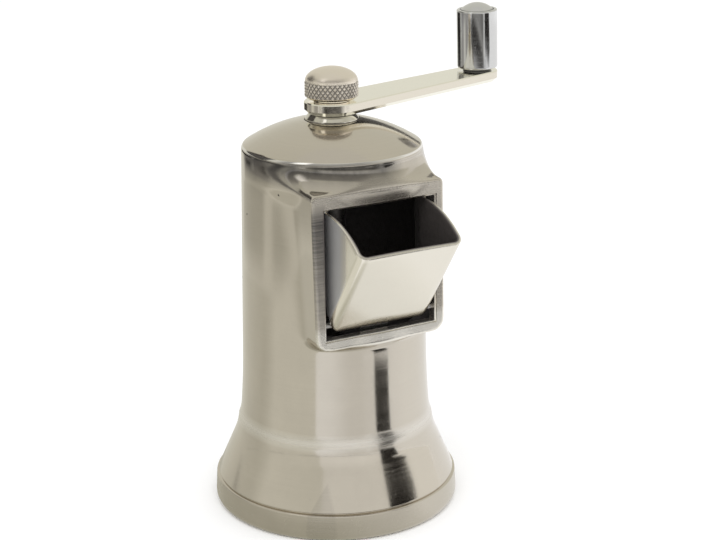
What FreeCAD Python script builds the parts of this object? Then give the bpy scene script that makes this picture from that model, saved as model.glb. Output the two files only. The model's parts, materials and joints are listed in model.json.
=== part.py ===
import FreeCAD, Part
import math
import os

# Salt mill with a hand crank and a tip-out filling hopper.
# Millimetres. The origin is the centre of the foot's rest plane, on the spindle axis.
# +Z points up and the hopper faces -Y. The mill is built as it stands at rest:
# hopper tipped open, crank turned a little past +X.

# Body casting, outside. Radii are from the spindle axis, heights from the rest plane.
shoulder_wall_radius = 23.0
wall_taper = 1.04
waist_spread = 0.71
waist_curl = 0.8
knee_spread = 1.35
skirt_spread = 4.3
foot_step = 0.6
foot_draft = 0.4
foot_height = 7.0
foot_edge_radius = 2.0
foot_line_depth = 0.5
foot_line_width = 0.6
skirt_knee_height = 17.5
skirt_top_height = 22.7
waist_height = 26.2
flare_height = 40.0
dome_above_housing = 13.0
dome_sphere_radius = 38.4
shoulder_radius = 2.6

# Body casting, inside.
wall = 2.6
dome_wall = 3.2
boss_radius = 7.6
boss_length = 10.8
funnel_depth = 11.0
throat_radius = 10.6
throat_length = 2.0
grinder_base_height = 19.0
grinder_housing_wall = 3.4
foot_wall = 3.8
under_pocket_rise = 16.0

# Square hopper housing that stands out of the body's front.
housing_reach = 1.7
housing_front_draft = 0.5
housing_half_width = 18.5
housing_top_slope = 6.0
housing_blend_radius = 2.5
housing_head_width = 4.1
housing_foot_width = 2.9
housing_top_corner = 1.6
housing_bottom_corner = 3.5
housing_edge_radius = 0.8
opening_half_width = 15.55
opening_height = 32.7
front_wall = 2.6
pocket_margin = 0.35
pocket_head_room = 2.2
pocket_foot_room = 1.0

# Hopper: a front panel and two side cheeks that tip out about a pin.
hopper_open_angle = 35.0
hinge_depth = 2.2
hinge_height = 3.4
hopper_side_gap = 1.2
hopper_sheet = 1.05
hopper_face_offset = 1.9
hopper_corner_radius = 2.4
hopper_foot_corner = 3.2
hopper_foot_drop = 0.8
cheek_front_radius = 26.9
cheek_rear_radius = 28.4
stop_angle_width = 5.0
stop_overlap = 1.5
stop_gap = 0.12
knuckle_radius = 1.7
knuckle_end_gap = 3.85
hinge_pin_radius = 0.8
hinge_pin_hole_depth = 1.6

# Leaf spring that holds the hopper by friction, and its screw.
leaf_half_width = 4.0
leaf_thickness = 0.4
leaf_gap = 0.1
leaf_overreach = 2.0
leaf_below_screw = 3.0
leaf_pad_half_width = 5.0
leaf_pad_above_screw = 3.1
leaf_pad_below_leaf = 3.0
leaf_screw_above_rim = 2.4
leaf_screw_below_opening = 6.2
leaf_screw_radius = 1.0
leaf_screw_head_radius = 1.9
leaf_screw_head_height = 1.1
leaf_screw_depth = 2.6
leaf_screw_slot_depth = 0.4
leaf_screw_hole_spare = 0.5

# Spindle.
spindle_radius = 3.0
spindle_square = 4.4
journal_radius = 2.5
journal_bottom = 11.0
thread_radius = 2.0
thread_length = 5.8
square_relief = 0.9
square_lead = 0.5

# Flanged top bush.
bush_radius = 5.0
bush_seat_depth = 0.65
bush_flange_radius = 6.8
bush_flange_top_radius = 5.8
bush_flange_height = 1.6
running_clearance = 0.05
seat_margin = 0.1

# Crank arm.
crank_rest_angle = 15.9
crank_length = 56.0
arm_boss_radius = 7.0
arm_tip_radius = 5.5
arm_thickness = 3.0
arm_top_chamfer = 0.25
arm_bottom_chamfer = 1.0
arm_lift_gap = 0.1

# Knurled cap nut on the spindle's threaded end.
nut_radius = 6.8
nut_knurl_height = 4.4
nut_dome_height = 3.4
nut_neck_radius = 4.6
nut_neck_height = 0.7
nut_seat_gap = 0.05
nut_chamfer = 0.35
nut_bore_spare = 0.8

# Grip, its riveted pin and the washer below it. The pin stands a little off square.
grip_radius = 5.5
grip_height = 15.9
grip_top_edge = 0.4
grip_bottom_edge = 0.5
grip_recess_radius = 4.6
grip_recess_depth = 0.8
grip_float = 0.15
grip_pin_radius = 2.2
grip_pin_spigot_radius = 1.8
grip_pin_head_radius = 4.3
grip_pin_head_edge = 0.75
grip_pin_head_height = 2.5
grip_pin_lean = 2.0
grip_washer_radius = 3.9
grip_washer_thickness = 0.4
grip_washer_clearance = 0.02

# Spring that pushes the spindle down, with its washer and clip.
spring_mean_radius = 4.05
spring_wire_radius = 0.4
spring_length = 8.4
spring_turns = 5
spring_washer_radius = 5.2
spring_washer_thickness = 0.8
clip_radius = 4.4
clip_groove_radius = 2.5
clip_thickness = 0.8
clip_mouth = 3.6

# Burrs.
burr_tooth_crest = 0.72
stator_height = 12.0
stator_radius = 15.0
stator_teeth = 24
stator_tooth_depth = 0.8
stator_bottom_tip_radius = 12.6
stator_top_tip_radius = 9.6
stator_twist = 8.0
rotor_teeth = 12
rotor_tooth_depth = 1.5
rotor_bottom_tip_radius = 11.8
rotor_top_tip_radius = 6.4
rotor_lift = 1.5
rotor_height = 13.5
rotor_twist = -16.0
rotor_recess_radius = 5.3
rotor_recess_depth = 4.0
rotor_nut_flats = 8.0
rotor_nut_height = 3.0
stator_key_radius = 1.0
stator_key_length = 7.0

# Bridge below the burrs, its bush and its two screws.
bridge_thickness = 3.0
bridge_half_breadth = 4.5
bridge_hub_radius = 6.8
bridge_hub_height = 6.5
lower_bush_radius = 4.0
lug_distance = 19.3
lug_radius = 4.0
bridge_screw_radius = 1.5
bridge_screw_depth = 8.0
bridge_screw_head_radius = 2.75
bridge_screw_head_height = 1.9
bridge_hole_clearance = 0.1
screw_slot_width = 0.7
screw_slot_depth = 0.8
tapped_hole_spare = 1.0

# How far a cutting shape runs past the faces that it cuts, and how close places count as one.
overcut = 1.0
near = 0.01
wall_tolerance = 0.05

# Radii that follow from the wall's, down to the foot.
flare_radius = shoulder_wall_radius + wall_taper
waist_radius = flare_radius + waist_spread
skirt_top_radius = waist_radius + waist_curl
skirt_knee_radius = skirt_top_radius + knee_spread
skirt_bottom_radius = skirt_knee_radius + skirt_spread
foot_top_radius = skirt_bottom_radius + foot_step
foot_radius = foot_top_radius + foot_draft
foot_opening_radius = foot_radius - foot_wall
front_plane = shoulder_wall_radius + housing_reach

# Places that follow from the sizes above, from the burrs up to the dome.
axis_up = FreeCAD.Vector(0, 0, 1)
grinder_seat_height = grinder_base_height + stator_height
throat_height = grinder_seat_height + throat_length
under_pocket_height = grinder_base_height + under_pocket_rise
funnel_rim_height = throat_height + funnel_depth
leaf_screw_height = funnel_rim_height + leaf_screw_above_rim
leaf_bottom = leaf_screw_height - leaf_below_screw
leaf_pad_top = leaf_screw_height + leaf_pad_above_screw
opening_bottom = leaf_screw_height + leaf_screw_below_opening
opening_top = opening_bottom + opening_height
housing_bottom = opening_bottom - housing_foot_width
housing_top = opening_top + housing_head_width
dome_height = housing_top + dome_above_housing
sphere_centre = dome_height - dome_sphere_radius
bush_seat_height = dome_height - bush_seat_depth
bush_flange_top = bush_seat_height + bush_flange_height
arm_bottom = bush_flange_top + arm_lift_gap
arm_top = arm_bottom + arm_thickness
nut_bottom = arm_top + nut_seat_gap
nut_knurl_bottom = nut_bottom + nut_neck_height
nut_knurl_top = nut_knurl_bottom + nut_knurl_height
square_top = arm_top - square_relief
square_bottom = arm_bottom - square_lead
spindle_top = square_top + thread_length
boss_bottom = bush_seat_height - boss_length
spring_bottom = boss_bottom - spring_length
washer_bottom = spring_bottom - spring_washer_thickness
clip_bottom = washer_bottom - clip_thickness
rotor_bottom = grinder_base_height + rotor_lift
rotor_top = rotor_bottom + rotor_height
rotor_seat = rotor_bottom + rotor_recess_depth
hinge_out = front_plane - hinge_depth
hinge_z = opening_bottom + hinge_height
frame_back = front_plane - front_wall
pocket_half_width = opening_half_width + pocket_margin
pocket_top = opening_top + pocket_head_room
pocket_bottom = opening_bottom - pocket_foot_room
hopper_half_width = opening_half_width - hopper_side_gap
leaf_face_out = hinge_out - knuckle_radius - leaf_gap
leaf_top = hinge_z + leaf_overreach
bridge_bottom = grinder_base_height - bridge_thickness
hub_bottom = grinder_base_height - bridge_hub_height
grip_washer_gap = grip_washer_radius * math.sin(math.radians(grip_pin_lean)) + grip_washer_clearance


def point(x, y, z):
    """A point or direction in space."""
    return FreeCAD.Vector(x, y, z)


def cylinder(radius, z_low, z_high, x=0.0, y=0.0):
    """An upright cylinder between two heights."""
    return Part.makeCylinder(radius, z_high - z_low, point(x, y, z_low), axis_up)


def cone(low_radius, high_radius, z_low, z_high):
    """An upright cone on the spindle axis between two heights."""
    return Part.makeCone(low_radius, high_radius, z_high - z_low, point(0, 0, z_low), axis_up)


def block(x_low, x_high, y_low, y_high, z_low, z_high):
    """A box between three pairs of limits."""
    corner = point(x_low, y_low, z_low)
    return Part.makeBox(x_high - x_low, y_high - y_low, z_high - z_low, corner)


def line(start, end):
    """A straight edge in the radius and height plane."""
    return Part.LineSegment(point(start[0], 0, start[1]), point(end[0], 0, end[1])).toShape()


def arc(start, middle, end):
    """A round edge through three points of the radius and height plane."""
    ends = [point(place[0], 0, place[1]) for place in (start, middle, end)]
    return Part.Arc(*ends).toShape()


def turned(edges):
    """The solid that a closed outline of radius and height sweeps about the spindle axis."""
    face = Part.Face(Part.Wire(edges))
    return face.revolve(point(0, 0, 0), axis_up, 360)


def turned_polygon(corners):
    """A turned solid whose outline has only straight sides."""
    closed = corners + corners[:1]
    return turned([line(closed[i], closed[i + 1]) for i in range(len(corners))])


def tangent_arc_middle(start, direction, end):
    """The middle of the arc that leaves start along direction and reaches end."""
    chord = (end[0] - start[0], end[1] - start[1])
    length = math.hypot(*chord)
    sine = (direction[0] * chord[1] - direction[1] * chord[0]) / (math.hypot(*direction) * length)
    bulge = length / 2 * math.tan(math.asin(sine) / 2)
    middle = ((start[0] + end[0]) / 2, (start[1] + end[1]) / 2)
    return (middle[0] + chord[1] / length * bulge, middle[1] - chord[0] / length * bulge)


def arc_end_direction(start, direction, end):
    """The direction in which the arc that leaves start along direction reaches end."""
    chord = (end[0] - start[0], end[1] - start[1])
    along = direction[0] * chord[0] + direction[1] * chord[1]
    share = 2 * along / (chord[0] ** 2 + chord[1] ** 2)
    return (chord[0] * share - direction[0], chord[1] * share - direction[1])


def dome_point(radius, sphere_radius=dome_sphere_radius):
    """The radius and height of a point on the dome's sphere."""
    return (radius, sphere_centre + math.sqrt(sphere_radius ** 2 - radius ** 2))


def arc_on_dome(outer_radius, inner_radius, sphere_radius=dome_sphere_radius):
    """An edge along the dome between two radii."""
    middle = (outer_radius + inner_radius) / 2
    places = [dome_point(radius, sphere_radius) for radius in (outer_radius, middle, inner_radius)]
    return arc(*places)


def shoulder_places():
    """Start, middle and end of the round shoulder between the wall and the dome."""
    centre_radius = shoulder_wall_radius - shoulder_radius
    reach = dome_sphere_radius - shoulder_radius
    centre_height = sphere_centre + math.sqrt(reach ** 2 - centre_radius ** 2)
    full_turn = math.atan2(centre_height - sphere_centre, centre_radius)
    places = []
    for angle in (0, full_turn / 2, full_turn):
        places.append((centre_radius + shoulder_radius * math.cos(angle),
                       centre_height + shoulder_radius * math.sin(angle)))
    return places


def body_outline():
    """The outer outline of the round body, from the rest plane's centre to the dome's top."""
    flat_end = (foot_radius - foot_edge_radius, 0)
    band_start = (foot_radius, foot_edge_radius)
    bend = foot_edge_radius * math.sqrt(0.5)
    edge_middle = (foot_radius - foot_edge_radius + bend, foot_edge_radius - bend)
    band_end = (foot_top_radius, foot_height)
    line_floor = (skirt_bottom_radius - foot_line_depth, foot_height + foot_line_width / 2)
    skirt_start = (skirt_bottom_radius, foot_height + foot_line_width)
    knee = (skirt_knee_radius, skirt_knee_height)
    skirt_top = (skirt_top_radius, skirt_top_height)
    waist = (waist_radius, waist_height)
    flare = (flare_radius, flare_height)
    skirt_direction = (knee[0] - skirt_start[0], knee[1] - skirt_start[1])
    shoulder = shoulder_places()
    down_the_wall = (flare[0] - shoulder[0][0], flare[1] - shoulder[0][1])
    flare_middle = tangent_arc_middle(flare, down_the_wall, waist)
    down_the_flare = arc_end_direction(flare, down_the_wall, waist)
    return [
        line((0, 0), flat_end),
        arc(flat_end, edge_middle, band_start),
        line(band_start, band_end),
        line(band_end, line_floor),
        line(line_floor, skirt_start),
        line(skirt_start, knee),
        arc(knee, tangent_arc_middle(knee, skirt_direction, skirt_top), skirt_top),
        arc(skirt_top, tangent_arc_middle(waist, down_the_flare, skirt_top), waist),
        arc(waist, flare_middle, flare),
        line(flare, shoulder[0]),
        arc(*shoulder),
        arc_on_dome(shoulder[2][0], 0),
        line((0, dome_height), (0, 0)),
    ]


def edges_where(shape, test):
    """The edges of a shape whose middle point and box pass a test."""
    chosen = []
    for edge in shape.Edges:
        middle = edge.valueAt((edge.FirstParameter + edge.LastParameter) / 2)
        if test(middle, edge.BoundBox):
            chosen.append(edge)
    return chosen


def housing_block():
    """The square housing's solid, back to the spindle axis: leaning front and sloping top."""
    front_top = front_plane - housing_front_draft
    back_top = housing_top + front_top * math.tan(math.radians(housing_top_slope))
    corners = [(front_plane, housing_bottom), (front_top, housing_top),
               (0, back_top), (0, housing_bottom)]
    places = [point(-housing_half_width, -out, z) for out, z in corners]
    side = Part.Face(Part.makePolygon(places + places[:1]))
    solid = side.extrude(point(2 * housing_half_width, 0, 0))

    def is_side_edge(middle, box):
        return box.XLength < near and box.YLength > housing_front_draft + near

    low = edges_where(solid, lambda middle, box: is_side_edge(middle, box)
                      and middle.z < housing_bottom + near)
    solid = solid.makeFillet(housing_bottom_corner, low)
    high = edges_where(solid, lambda middle, box: is_side_edge(middle, box)
                       and middle.z > housing_top)
    solid = solid.makeFillet(housing_top_corner, high)
    front = edges_where(solid, lambda middle, box: box.YMax < -front_top + near)
    return solid.makeFillet(housing_edge_radius, front)


def wall_radius_at(height):
    """The round body's outer radius on the straight part of its wall."""
    top = shoulder_places()[0]
    share = (height - flare_height) / (top[1] - flare_height)
    return flare_radius + (top[0] - flare_radius) * share


def blend_housing(body):
    """Rounds the inner corners where the housing's sides meet the round body."""
    def is_junction(middle, box):
        on_side = abs(abs(middle.x) - housing_half_width) < near
        wall_gap = math.hypot(middle.x, middle.y) - wall_radius_at(middle.z)
        on_wall = abs(wall_gap) < wall_tolerance
        return on_side and on_wall

    return body.makeFillet(housing_blend_radius, edges_where(body, is_junction))


def upper_chamber():
    """The salt chamber between the dome and the grinder's throat."""
    inner_sphere = dome_sphere_radius - dome_wall
    top_radius = shoulder_wall_radius - wall
    top_corner = dome_point(top_radius, inner_sphere)
    boss_corner = dome_point(boss_radius, inner_sphere)
    rim = (waist_radius - wall, funnel_rim_height)
    return turned([
        line((0, boss_bottom), (boss_radius, boss_bottom)),
        line((boss_radius, boss_bottom), boss_corner),
        arc(boss_corner, dome_point((boss_radius + top_radius) / 2, inner_sphere), top_corner),
        line(top_corner, rim),
        line(rim, (throat_radius, throat_height)),
        line((throat_radius, throat_height), (0, throat_height)),
        line((0, throat_height), (0, boss_bottom)),
    ])


def lower_recess():
    """The hollow under the grinder, open at the foot, round the grinder's housing."""
    housing_outer = stator_radius + grinder_housing_wall
    slope = math.hypot(skirt_bottom_radius - skirt_knee_radius, skirt_knee_height - foot_height)
    skirt_wall = wall * slope / (skirt_knee_height - foot_height)
    return turned_polygon([
        (0, 0), (foot_opening_radius, 0), (foot_opening_radius, foot_height),
        (skirt_bottom_radius - skirt_wall, foot_height + foot_line_width),
        (skirt_knee_radius - skirt_wall, skirt_knee_height),
        (waist_radius - wall, waist_height),
        (waist_radius - wall, under_pocket_height),
        (housing_outer, under_pocket_height),
        (housing_outer, grinder_base_height),
        (0, grinder_base_height),
    ])


def bridge_lugs():
    """The two lugs beside the grinder's housing that take the bridge's screws."""
    lugs = []
    for side in (-1, 1):
        lugs.append(cylinder(lug_radius, grinder_base_height, under_pocket_height + overcut,
                             x=side * lug_distance))
    return lugs[0].fuse(lugs[1])


def leaf_pad():
    """The flat pad that carries the leaf spring. Its back corners lie midway in the front wall."""
    wall_out = math.sqrt((waist_radius - wall / 2) ** 2 - leaf_pad_half_width ** 2)
    return block(-leaf_pad_half_width, leaf_pad_half_width, -wall_out, -leaf_face_out,
                 leaf_bottom - leaf_pad_below_leaf, leaf_pad_top)


def pin_axis_cylinder(radius, x_low, x_high):
    """A cylinder along the hopper's hinge axis."""
    return Part.makeCylinder(radius, x_high - x_low, point(x_low, -hinge_out, hinge_z),
                             point(1, 0, 0))


def stator_key_hole():
    """The upright hole, half in the stator and half in its seat, that holds the key."""
    return cylinder(stator_key_radius, grinder_base_height, grinder_base_height + stator_key_length,
                    y=stator_radius)


def leaf_screw_cylinder(radius, out_low, out_high):
    """A cylinder along the leaf spring's screw, between two distances from the spindle axis."""
    return Part.makeCylinder(radius, out_high - out_low, point(0, -out_low, leaf_screw_height),
                             point(0, -1, 0))


def make_body_casting():
    """The one-piece cast body with its chamber, housing, funnel, lugs and bores."""
    outer = blend_housing(turned(body_outline()).fuse(housing_block()))
    casting = outer.cut(upper_chamber()).cut(lower_recess())
    pocket = block(-pocket_half_width, pocket_half_width, -frame_back, 0,
                   pocket_bottom, pocket_top)
    opening = block(-opening_half_width, opening_half_width, -front_plane - overcut, 0,
                    opening_bottom, opening_top)
    casting = casting.cut(pocket).cut(opening)
    casting = casting.fuse(bridge_lugs()).fuse(leaf_pad())
    lug_hole_top = grinder_base_height + bridge_screw_depth + tapped_hole_spare
    cuts = [
        cylinder(bush_radius, boss_bottom - overcut, dome_height),
        cylinder(bush_flange_radius + seat_margin, bush_seat_height, dome_height + overcut),
        cylinder(throat_radius, grinder_seat_height - overcut, throat_height + overcut),
        cylinder(stator_radius, grinder_base_height - overcut, grinder_seat_height),
        stator_key_hole(),
        pin_axis_cylinder(hinge_pin_radius, -opening_half_width - hinge_pin_hole_depth,
                          housing_half_width + overcut),
        leaf_screw_cylinder(leaf_screw_radius, leaf_face_out - overcut,
                            leaf_face_out + leaf_screw_depth + leaf_screw_hole_spare),
    ]
    for side in (-1, 1):
        cuts.append(cylinder(bridge_screw_radius, grinder_base_height - overcut, lug_hole_top,
                             x=side * lug_distance))
    for tool in cuts:
        casting = casting.cut(tool)
    return casting


def make_top_bush():
    """The bush in the dome, with the coned flange that the crank turns on."""
    sleeve = cylinder(bush_radius, boss_bottom, bush_seat_height)
    flange = cone(bush_flange_radius, bush_flange_top_radius, bush_seat_height, bush_flange_top)
    bore = cylinder(spindle_radius + running_clearance, boss_bottom - overcut,
                    bush_flange_top + overcut)
    return sleeve.fuse(flange).cut(bore).removeSplitter()


def square_bar(side, z_low, z_high):
    """An upright square bar on the spindle axis, its corners turned to the spindle's radius."""
    half = side / 2
    bar = block(-half, half, -half, half, z_low, z_high)
    return bar.common(cylinder(spindle_radius + (side - spindle_square) / 2, z_low, z_high))


def turn_to_crank(shape):
    """Turns a shape built along +X to the crank's rest direction."""
    turned_shape = shape.copy()
    turned_shape.rotate(point(0, 0, 0), axis_up, crank_rest_angle)
    return turned_shape


def place_on_arm_tip(shape):
    """Moves a shape built about +Z from the arm's top face onto the leaning pin's axis."""
    placed = shape.copy()
    placed.rotate(point(0, 0, 0), point(0, 1, 0), -grip_pin_lean)
    placed.translate(point(crank_length, 0, arm_top))
    return turn_to_crank(placed)


def make_spindle():
    """The spindle: journal, rotor square, round shaft, crank square and threaded end."""
    square_half = turn_to_crank(square_bar(spindle_square, square_bottom, square_top))
    rotor_half = turn_to_crank(square_bar(spindle_square, rotor_seat, rotor_top))
    parts = [
        cylinder(journal_radius, journal_bottom, rotor_seat),
        rotor_half,
        cylinder(spindle_radius, rotor_top, square_bottom),
        square_half,
        cylinder(thread_radius, square_top, spindle_top),
    ]
    spindle = parts[0]
    for part in parts[1:]:
        spindle = spindle.fuse(part)
    groove = cylinder(spindle_radius + overcut, clip_bottom, washer_bottom)
    groove = groove.cut(cylinder(clip_groove_radius, clip_bottom, washer_bottom))
    return spindle.cut(groove).removeSplitter()


def arm_plate(boss_radius_here, tip_radius_here, z_low, z_high):
    """A flat bar along +X with a round end about the spindle and a round end about the pin."""
    sine = (boss_radius_here - tip_radius_here) / crank_length
    cosine = math.sqrt(1 - sine ** 2)
    boss_side = (boss_radius_here * sine, boss_radius_here * cosine)
    tip_side = (crank_length + tip_radius_here * sine, tip_radius_here * cosine)
    places = {
        "boss_left": point(boss_side[0], boss_side[1], z_low),
        "boss_right": point(boss_side[0], -boss_side[1], z_low),
        "boss_back": point(-boss_radius_here, 0, z_low),
        "tip_left": point(tip_side[0], tip_side[1], z_low),
        "tip_right": point(tip_side[0], -tip_side[1], z_low),
        "tip_end": point(crank_length + tip_radius_here, 0, z_low),
    }
    edges = [
        Part.Arc(places["boss_left"], places["boss_back"], places["boss_right"]).toShape(),
        Part.LineSegment(places["boss_right"], places["tip_right"]).toShape(),
        Part.Arc(places["tip_right"], places["tip_end"], places["tip_left"]).toShape(),
        Part.LineSegment(places["tip_left"], places["boss_left"]).toShape(),
    ]
    return Part.Face(Part.Wire(edges)).extrude(point(0, 0, z_high - z_low))


def make_crank_arm():
    """The flat crank arm with bevelled edges, a square hole and the pin's hole."""
    arm = arm_plate(arm_boss_radius, arm_tip_radius, arm_bottom, arm_top)
    top_edges = [edge for edge in arm.Edges if edge.BoundBox.ZMin > arm_top - near]
    arm = arm.makeChamfer(arm_top_chamfer, top_edges)
    bottom_edges = [edge for edge in arm.Edges if edge.BoundBox.ZMax < arm_bottom + near]
    arm = arm.makeChamfer(arm_bottom_chamfer, bottom_edges)
    hole = square_bar(spindle_square + 2 * running_clearance, arm_bottom - overcut,
                      arm_top + overcut)
    pin_hole = cylinder(grip_pin_spigot_radius, -arm_thickness - overcut, overcut)
    return turn_to_crank(arm.cut(hole)).cut(place_on_arm_tip(pin_hole))


def make_cap_nut():
    """The domed nut with a band for knurling and a plain neck."""
    apex = nut_knurl_top + nut_dome_height
    rim = nut_radius - nut_chamfer
    sphere = (rim ** 2 + nut_dome_height ** 2) / (2 * nut_dome_height)
    middle_radius = rim / 2
    middle = (middle_radius, apex - sphere + math.sqrt(sphere ** 2 - middle_radius ** 2))
    bore_top = spindle_top + nut_bore_spare
    bore_radius = thread_radius + running_clearance
    return turned([
        line((bore_radius, nut_bottom), (nut_neck_radius, nut_bottom)),
        line((nut_neck_radius, nut_bottom), (nut_neck_radius, nut_knurl_bottom)),
        line((nut_neck_radius, nut_knurl_bottom), (nut_radius - nut_chamfer, nut_knurl_bottom)),
        line((nut_radius - nut_chamfer, nut_knurl_bottom),
             (nut_radius, nut_knurl_bottom + nut_chamfer)),
        line((nut_radius, nut_knurl_bottom + nut_chamfer), (nut_radius, nut_knurl_top - nut_chamfer)),
        line((nut_radius, nut_knurl_top - nut_chamfer), (rim, nut_knurl_top)),
        arc((rim, nut_knurl_top), middle, (0, apex)),
        line((0, apex), (0, bore_top)),
        line((0, bore_top), (bore_radius, bore_top)),
        line((bore_radius, bore_top), (bore_radius, nut_bottom)),
    ])


def grip_base():
    """The grip's lower end above the arm's top face."""
    return grip_washer_gap + grip_washer_thickness + grip_float


def make_grip():
    """The turned grip, loose on its pin, with a recess for the pin's head."""
    base = grip_base()
    top = base + grip_height
    bore = grip_pin_radius + running_clearance
    shape = turned_polygon([
        (bore, base), (grip_radius - grip_bottom_edge, base),
        (grip_radius, base + grip_bottom_edge), (grip_radius, top - grip_top_edge),
        (grip_radius - grip_top_edge, top), (grip_recess_radius, top),
        (grip_recess_radius, top - grip_recess_depth), (bore, top - grip_recess_depth),
    ])
    return place_on_arm_tip(shape)


def make_grip_pin():
    """The riveted pin with its low domed head."""
    shoulder = grip_washer_gap
    head_bottom = grip_base() + grip_height - grip_recess_depth + running_clearance
    edge_top = head_bottom + grip_pin_head_edge
    head_top = head_bottom + grip_pin_head_height
    rise = head_top - edge_top
    sphere = (grip_pin_head_radius ** 2 + rise ** 2) / (2 * rise)
    half = grip_pin_head_radius / 2
    crown = (half, head_top - sphere + math.sqrt(sphere ** 2 - half ** 2))
    spigot_bottom = -arm_thickness
    shape = turned([
        line((0, spigot_bottom), (grip_pin_spigot_radius, spigot_bottom)),
        line((grip_pin_spigot_radius, spigot_bottom), (grip_pin_spigot_radius, shoulder)),
        line((grip_pin_spigot_radius, shoulder), (grip_pin_radius, shoulder)),
        line((grip_pin_radius, shoulder), (grip_pin_radius, head_bottom)),
        line((grip_pin_radius, head_bottom), (grip_pin_head_radius, head_bottom)),
        line((grip_pin_head_radius, head_bottom), (grip_pin_head_radius, edge_top)),
        arc((grip_pin_head_radius, edge_top), crown, (0, head_top)),
        line((0, head_top), (0, spigot_bottom)),
    ])
    return place_on_arm_tip(shape)


def make_grip_washer():
    """The thin washer between the arm and the grip."""
    ring = cylinder(grip_washer_radius, grip_washer_gap, grip_washer_gap + grip_washer_thickness)
    return place_on_arm_tip(ring.cut(cylinder(grip_pin_radius, -overcut, grip_base())))


def helix_place(turn_angle, low, pitch):
    """A point on the spring's centre line and the line's direction there."""
    rise = pitch / (2 * math.pi)
    place = point(spring_mean_radius * math.cos(turn_angle),
                  spring_mean_radius * math.sin(turn_angle), low + rise * turn_angle)
    direction = point(-spring_mean_radius * math.sin(turn_angle),
                      spring_mean_radius * math.cos(turn_angle), rise)
    return place, direction.normalize()


def arc_from_tangent(start, direction, end):
    """The arc that leaves start along direction and ends at end."""
    chord = end - start
    corner = start + direction * (chord.Length ** 2 / (2 * direction.dot(chord)))
    arm = (corner - start).Length
    middle_of_chord = (start + end) * 0.5
    sagitta_base = (corner - middle_of_chord).Length
    half_chord = chord.Length / 2
    sagitta = half_chord * (arm - half_chord) / sagitta_base
    return Part.Arc(start, middle_of_chord + (corner - middle_of_chord) * (sagitta / sagitta_base),
                    end).toShape()


def biarc(start, start_direction, end, end_direction):
    """Two arcs that join smoothly and meet both given directions."""
    chord = end - start
    both = start_direction + end_direction
    spread = 2 * (1 - start_direction.dot(end_direction))
    along = chord.dot(both)
    reach = (math.sqrt(along ** 2 + spread * chord.dot(chord)) - along) / spread
    joint = (start + end + (start_direction - end_direction) * reach) * 0.5
    first = arc_from_tangent(start, start_direction, joint)
    second = arc_from_tangent(end, end_direction * -1, joint)
    return [first, second]


def spring_self_gap(low, pitch):
    """The least distance between two turns' surfaces, measured on points of the centre line."""
    steps_per_turn = 48
    total = spring_turns * steps_per_turn
    places = [helix_place(2 * math.pi * i / steps_per_turn, low, pitch)[0] for i in range(total + 1)]
    least = min((places[i] - places[j]).Length
                for i in range(0, total + 1, 4)
                for j in range(i + steps_per_turn // 2, total + 1))
    return least - 2 * spring_wire_radius


def make_spindle_spring():
    """The round-wire compression spring between the top bush and its washer."""
    low = spring_bottom + spring_wire_radius
    pitch = (spring_length - 2 * spring_wire_radius) / spring_turns
    edges = []
    for quarter in range(4 * spring_turns):
        start, start_direction = helix_place(quarter * math.pi / 2, low, pitch)
        end, end_direction = helix_place((quarter + 1) * math.pi / 2, low, pitch)
        edges.extend(biarc(start, start_direction, end, end_direction))
    path = Part.Wire(edges)
    start, start_direction = helix_place(0, low, pitch)
    ring = Part.Wire([Part.makeCircle(spring_wire_radius, start, start_direction)])
    print("spring: least gap to itself", round(spring_self_gap(low, pitch), 3), "mm")
    return path.makePipeShell([ring], True, False)


def make_spring_washer():
    """The washer on the spindle that the spring pushes on."""
    ring = cylinder(spring_washer_radius, washer_bottom, spring_bottom)
    return ring.cut(cylinder(spindle_radius, washer_bottom - overcut, spring_bottom + overcut))


def make_spindle_clip():
    """The open spring clip in the spindle's groove."""
    ring = cylinder(clip_radius, clip_bottom, washer_bottom)
    ring = ring.cut(cylinder(clip_groove_radius, clip_bottom - overcut, washer_bottom + overcut))
    mouth = block(-clip_mouth / 2, clip_mouth / 2, 0, clip_radius + overcut,
                  clip_bottom, washer_bottom)
    return ring.cut(mouth)


def toothed_wire(teeth, tip_radius, root_radius, height, turn_angle):
    """A closed outline with sawtooth teeth at one height."""
    corners = []
    pitch = 2 * math.pi / teeth
    for tooth in range(teeth):
        start = tooth * pitch + math.radians(turn_angle)
        for radius, angle in ((root_radius, start), (tip_radius, start + pitch * burr_tooth_crest)):
            corners.append(point(radius * math.cos(angle), radius * math.sin(angle), height))
    return Part.makePolygon(corners + corners[:1])


def toothed_cone(teeth, low_radii, high_radii, z_low, z_high, twist):
    """A toothed cone between two heights, its teeth twisted by an angle."""
    low = toothed_wire(teeth, low_radii[0], low_radii[1], z_low, 0)
    high = toothed_wire(teeth, high_radii[0], high_radii[1], z_high, twist)
    return Part.makeLoft([low, high], True, True)


def make_stator_ring():
    """The outer burr: a ring with teeth on its conical inside."""
    ring = cylinder(stator_radius, grinder_base_height, grinder_seat_height)
    low = (stator_bottom_tip_radius, stator_bottom_tip_radius + stator_tooth_depth)
    high = (stator_top_tip_radius, stator_top_tip_radius + stator_tooth_depth)
    bore = toothed_cone(stator_teeth, low, high, grinder_base_height, grinder_seat_height,
                        stator_twist)
    return ring.cut(bore).cut(stator_key_hole())


def make_stator_key():
    """The small pin that keeps the stator from turning."""
    return stator_key_hole()


def make_rotor_burr():
    """The inner burr: a toothed cone on the spindle's lower square."""
    low = (rotor_bottom_tip_radius, rotor_bottom_tip_radius - rotor_tooth_depth)
    high = (rotor_top_tip_radius, rotor_top_tip_radius - rotor_tooth_depth)
    burr = toothed_cone(rotor_teeth, low, high, rotor_bottom, rotor_top, rotor_twist)
    recess = cylinder(rotor_recess_radius, rotor_bottom - overcut, rotor_seat)
    hole = turn_to_crank(square_bar(spindle_square, rotor_seat - overcut, rotor_top + overcut))
    return burr.cut(recess).cut(hole)


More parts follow.
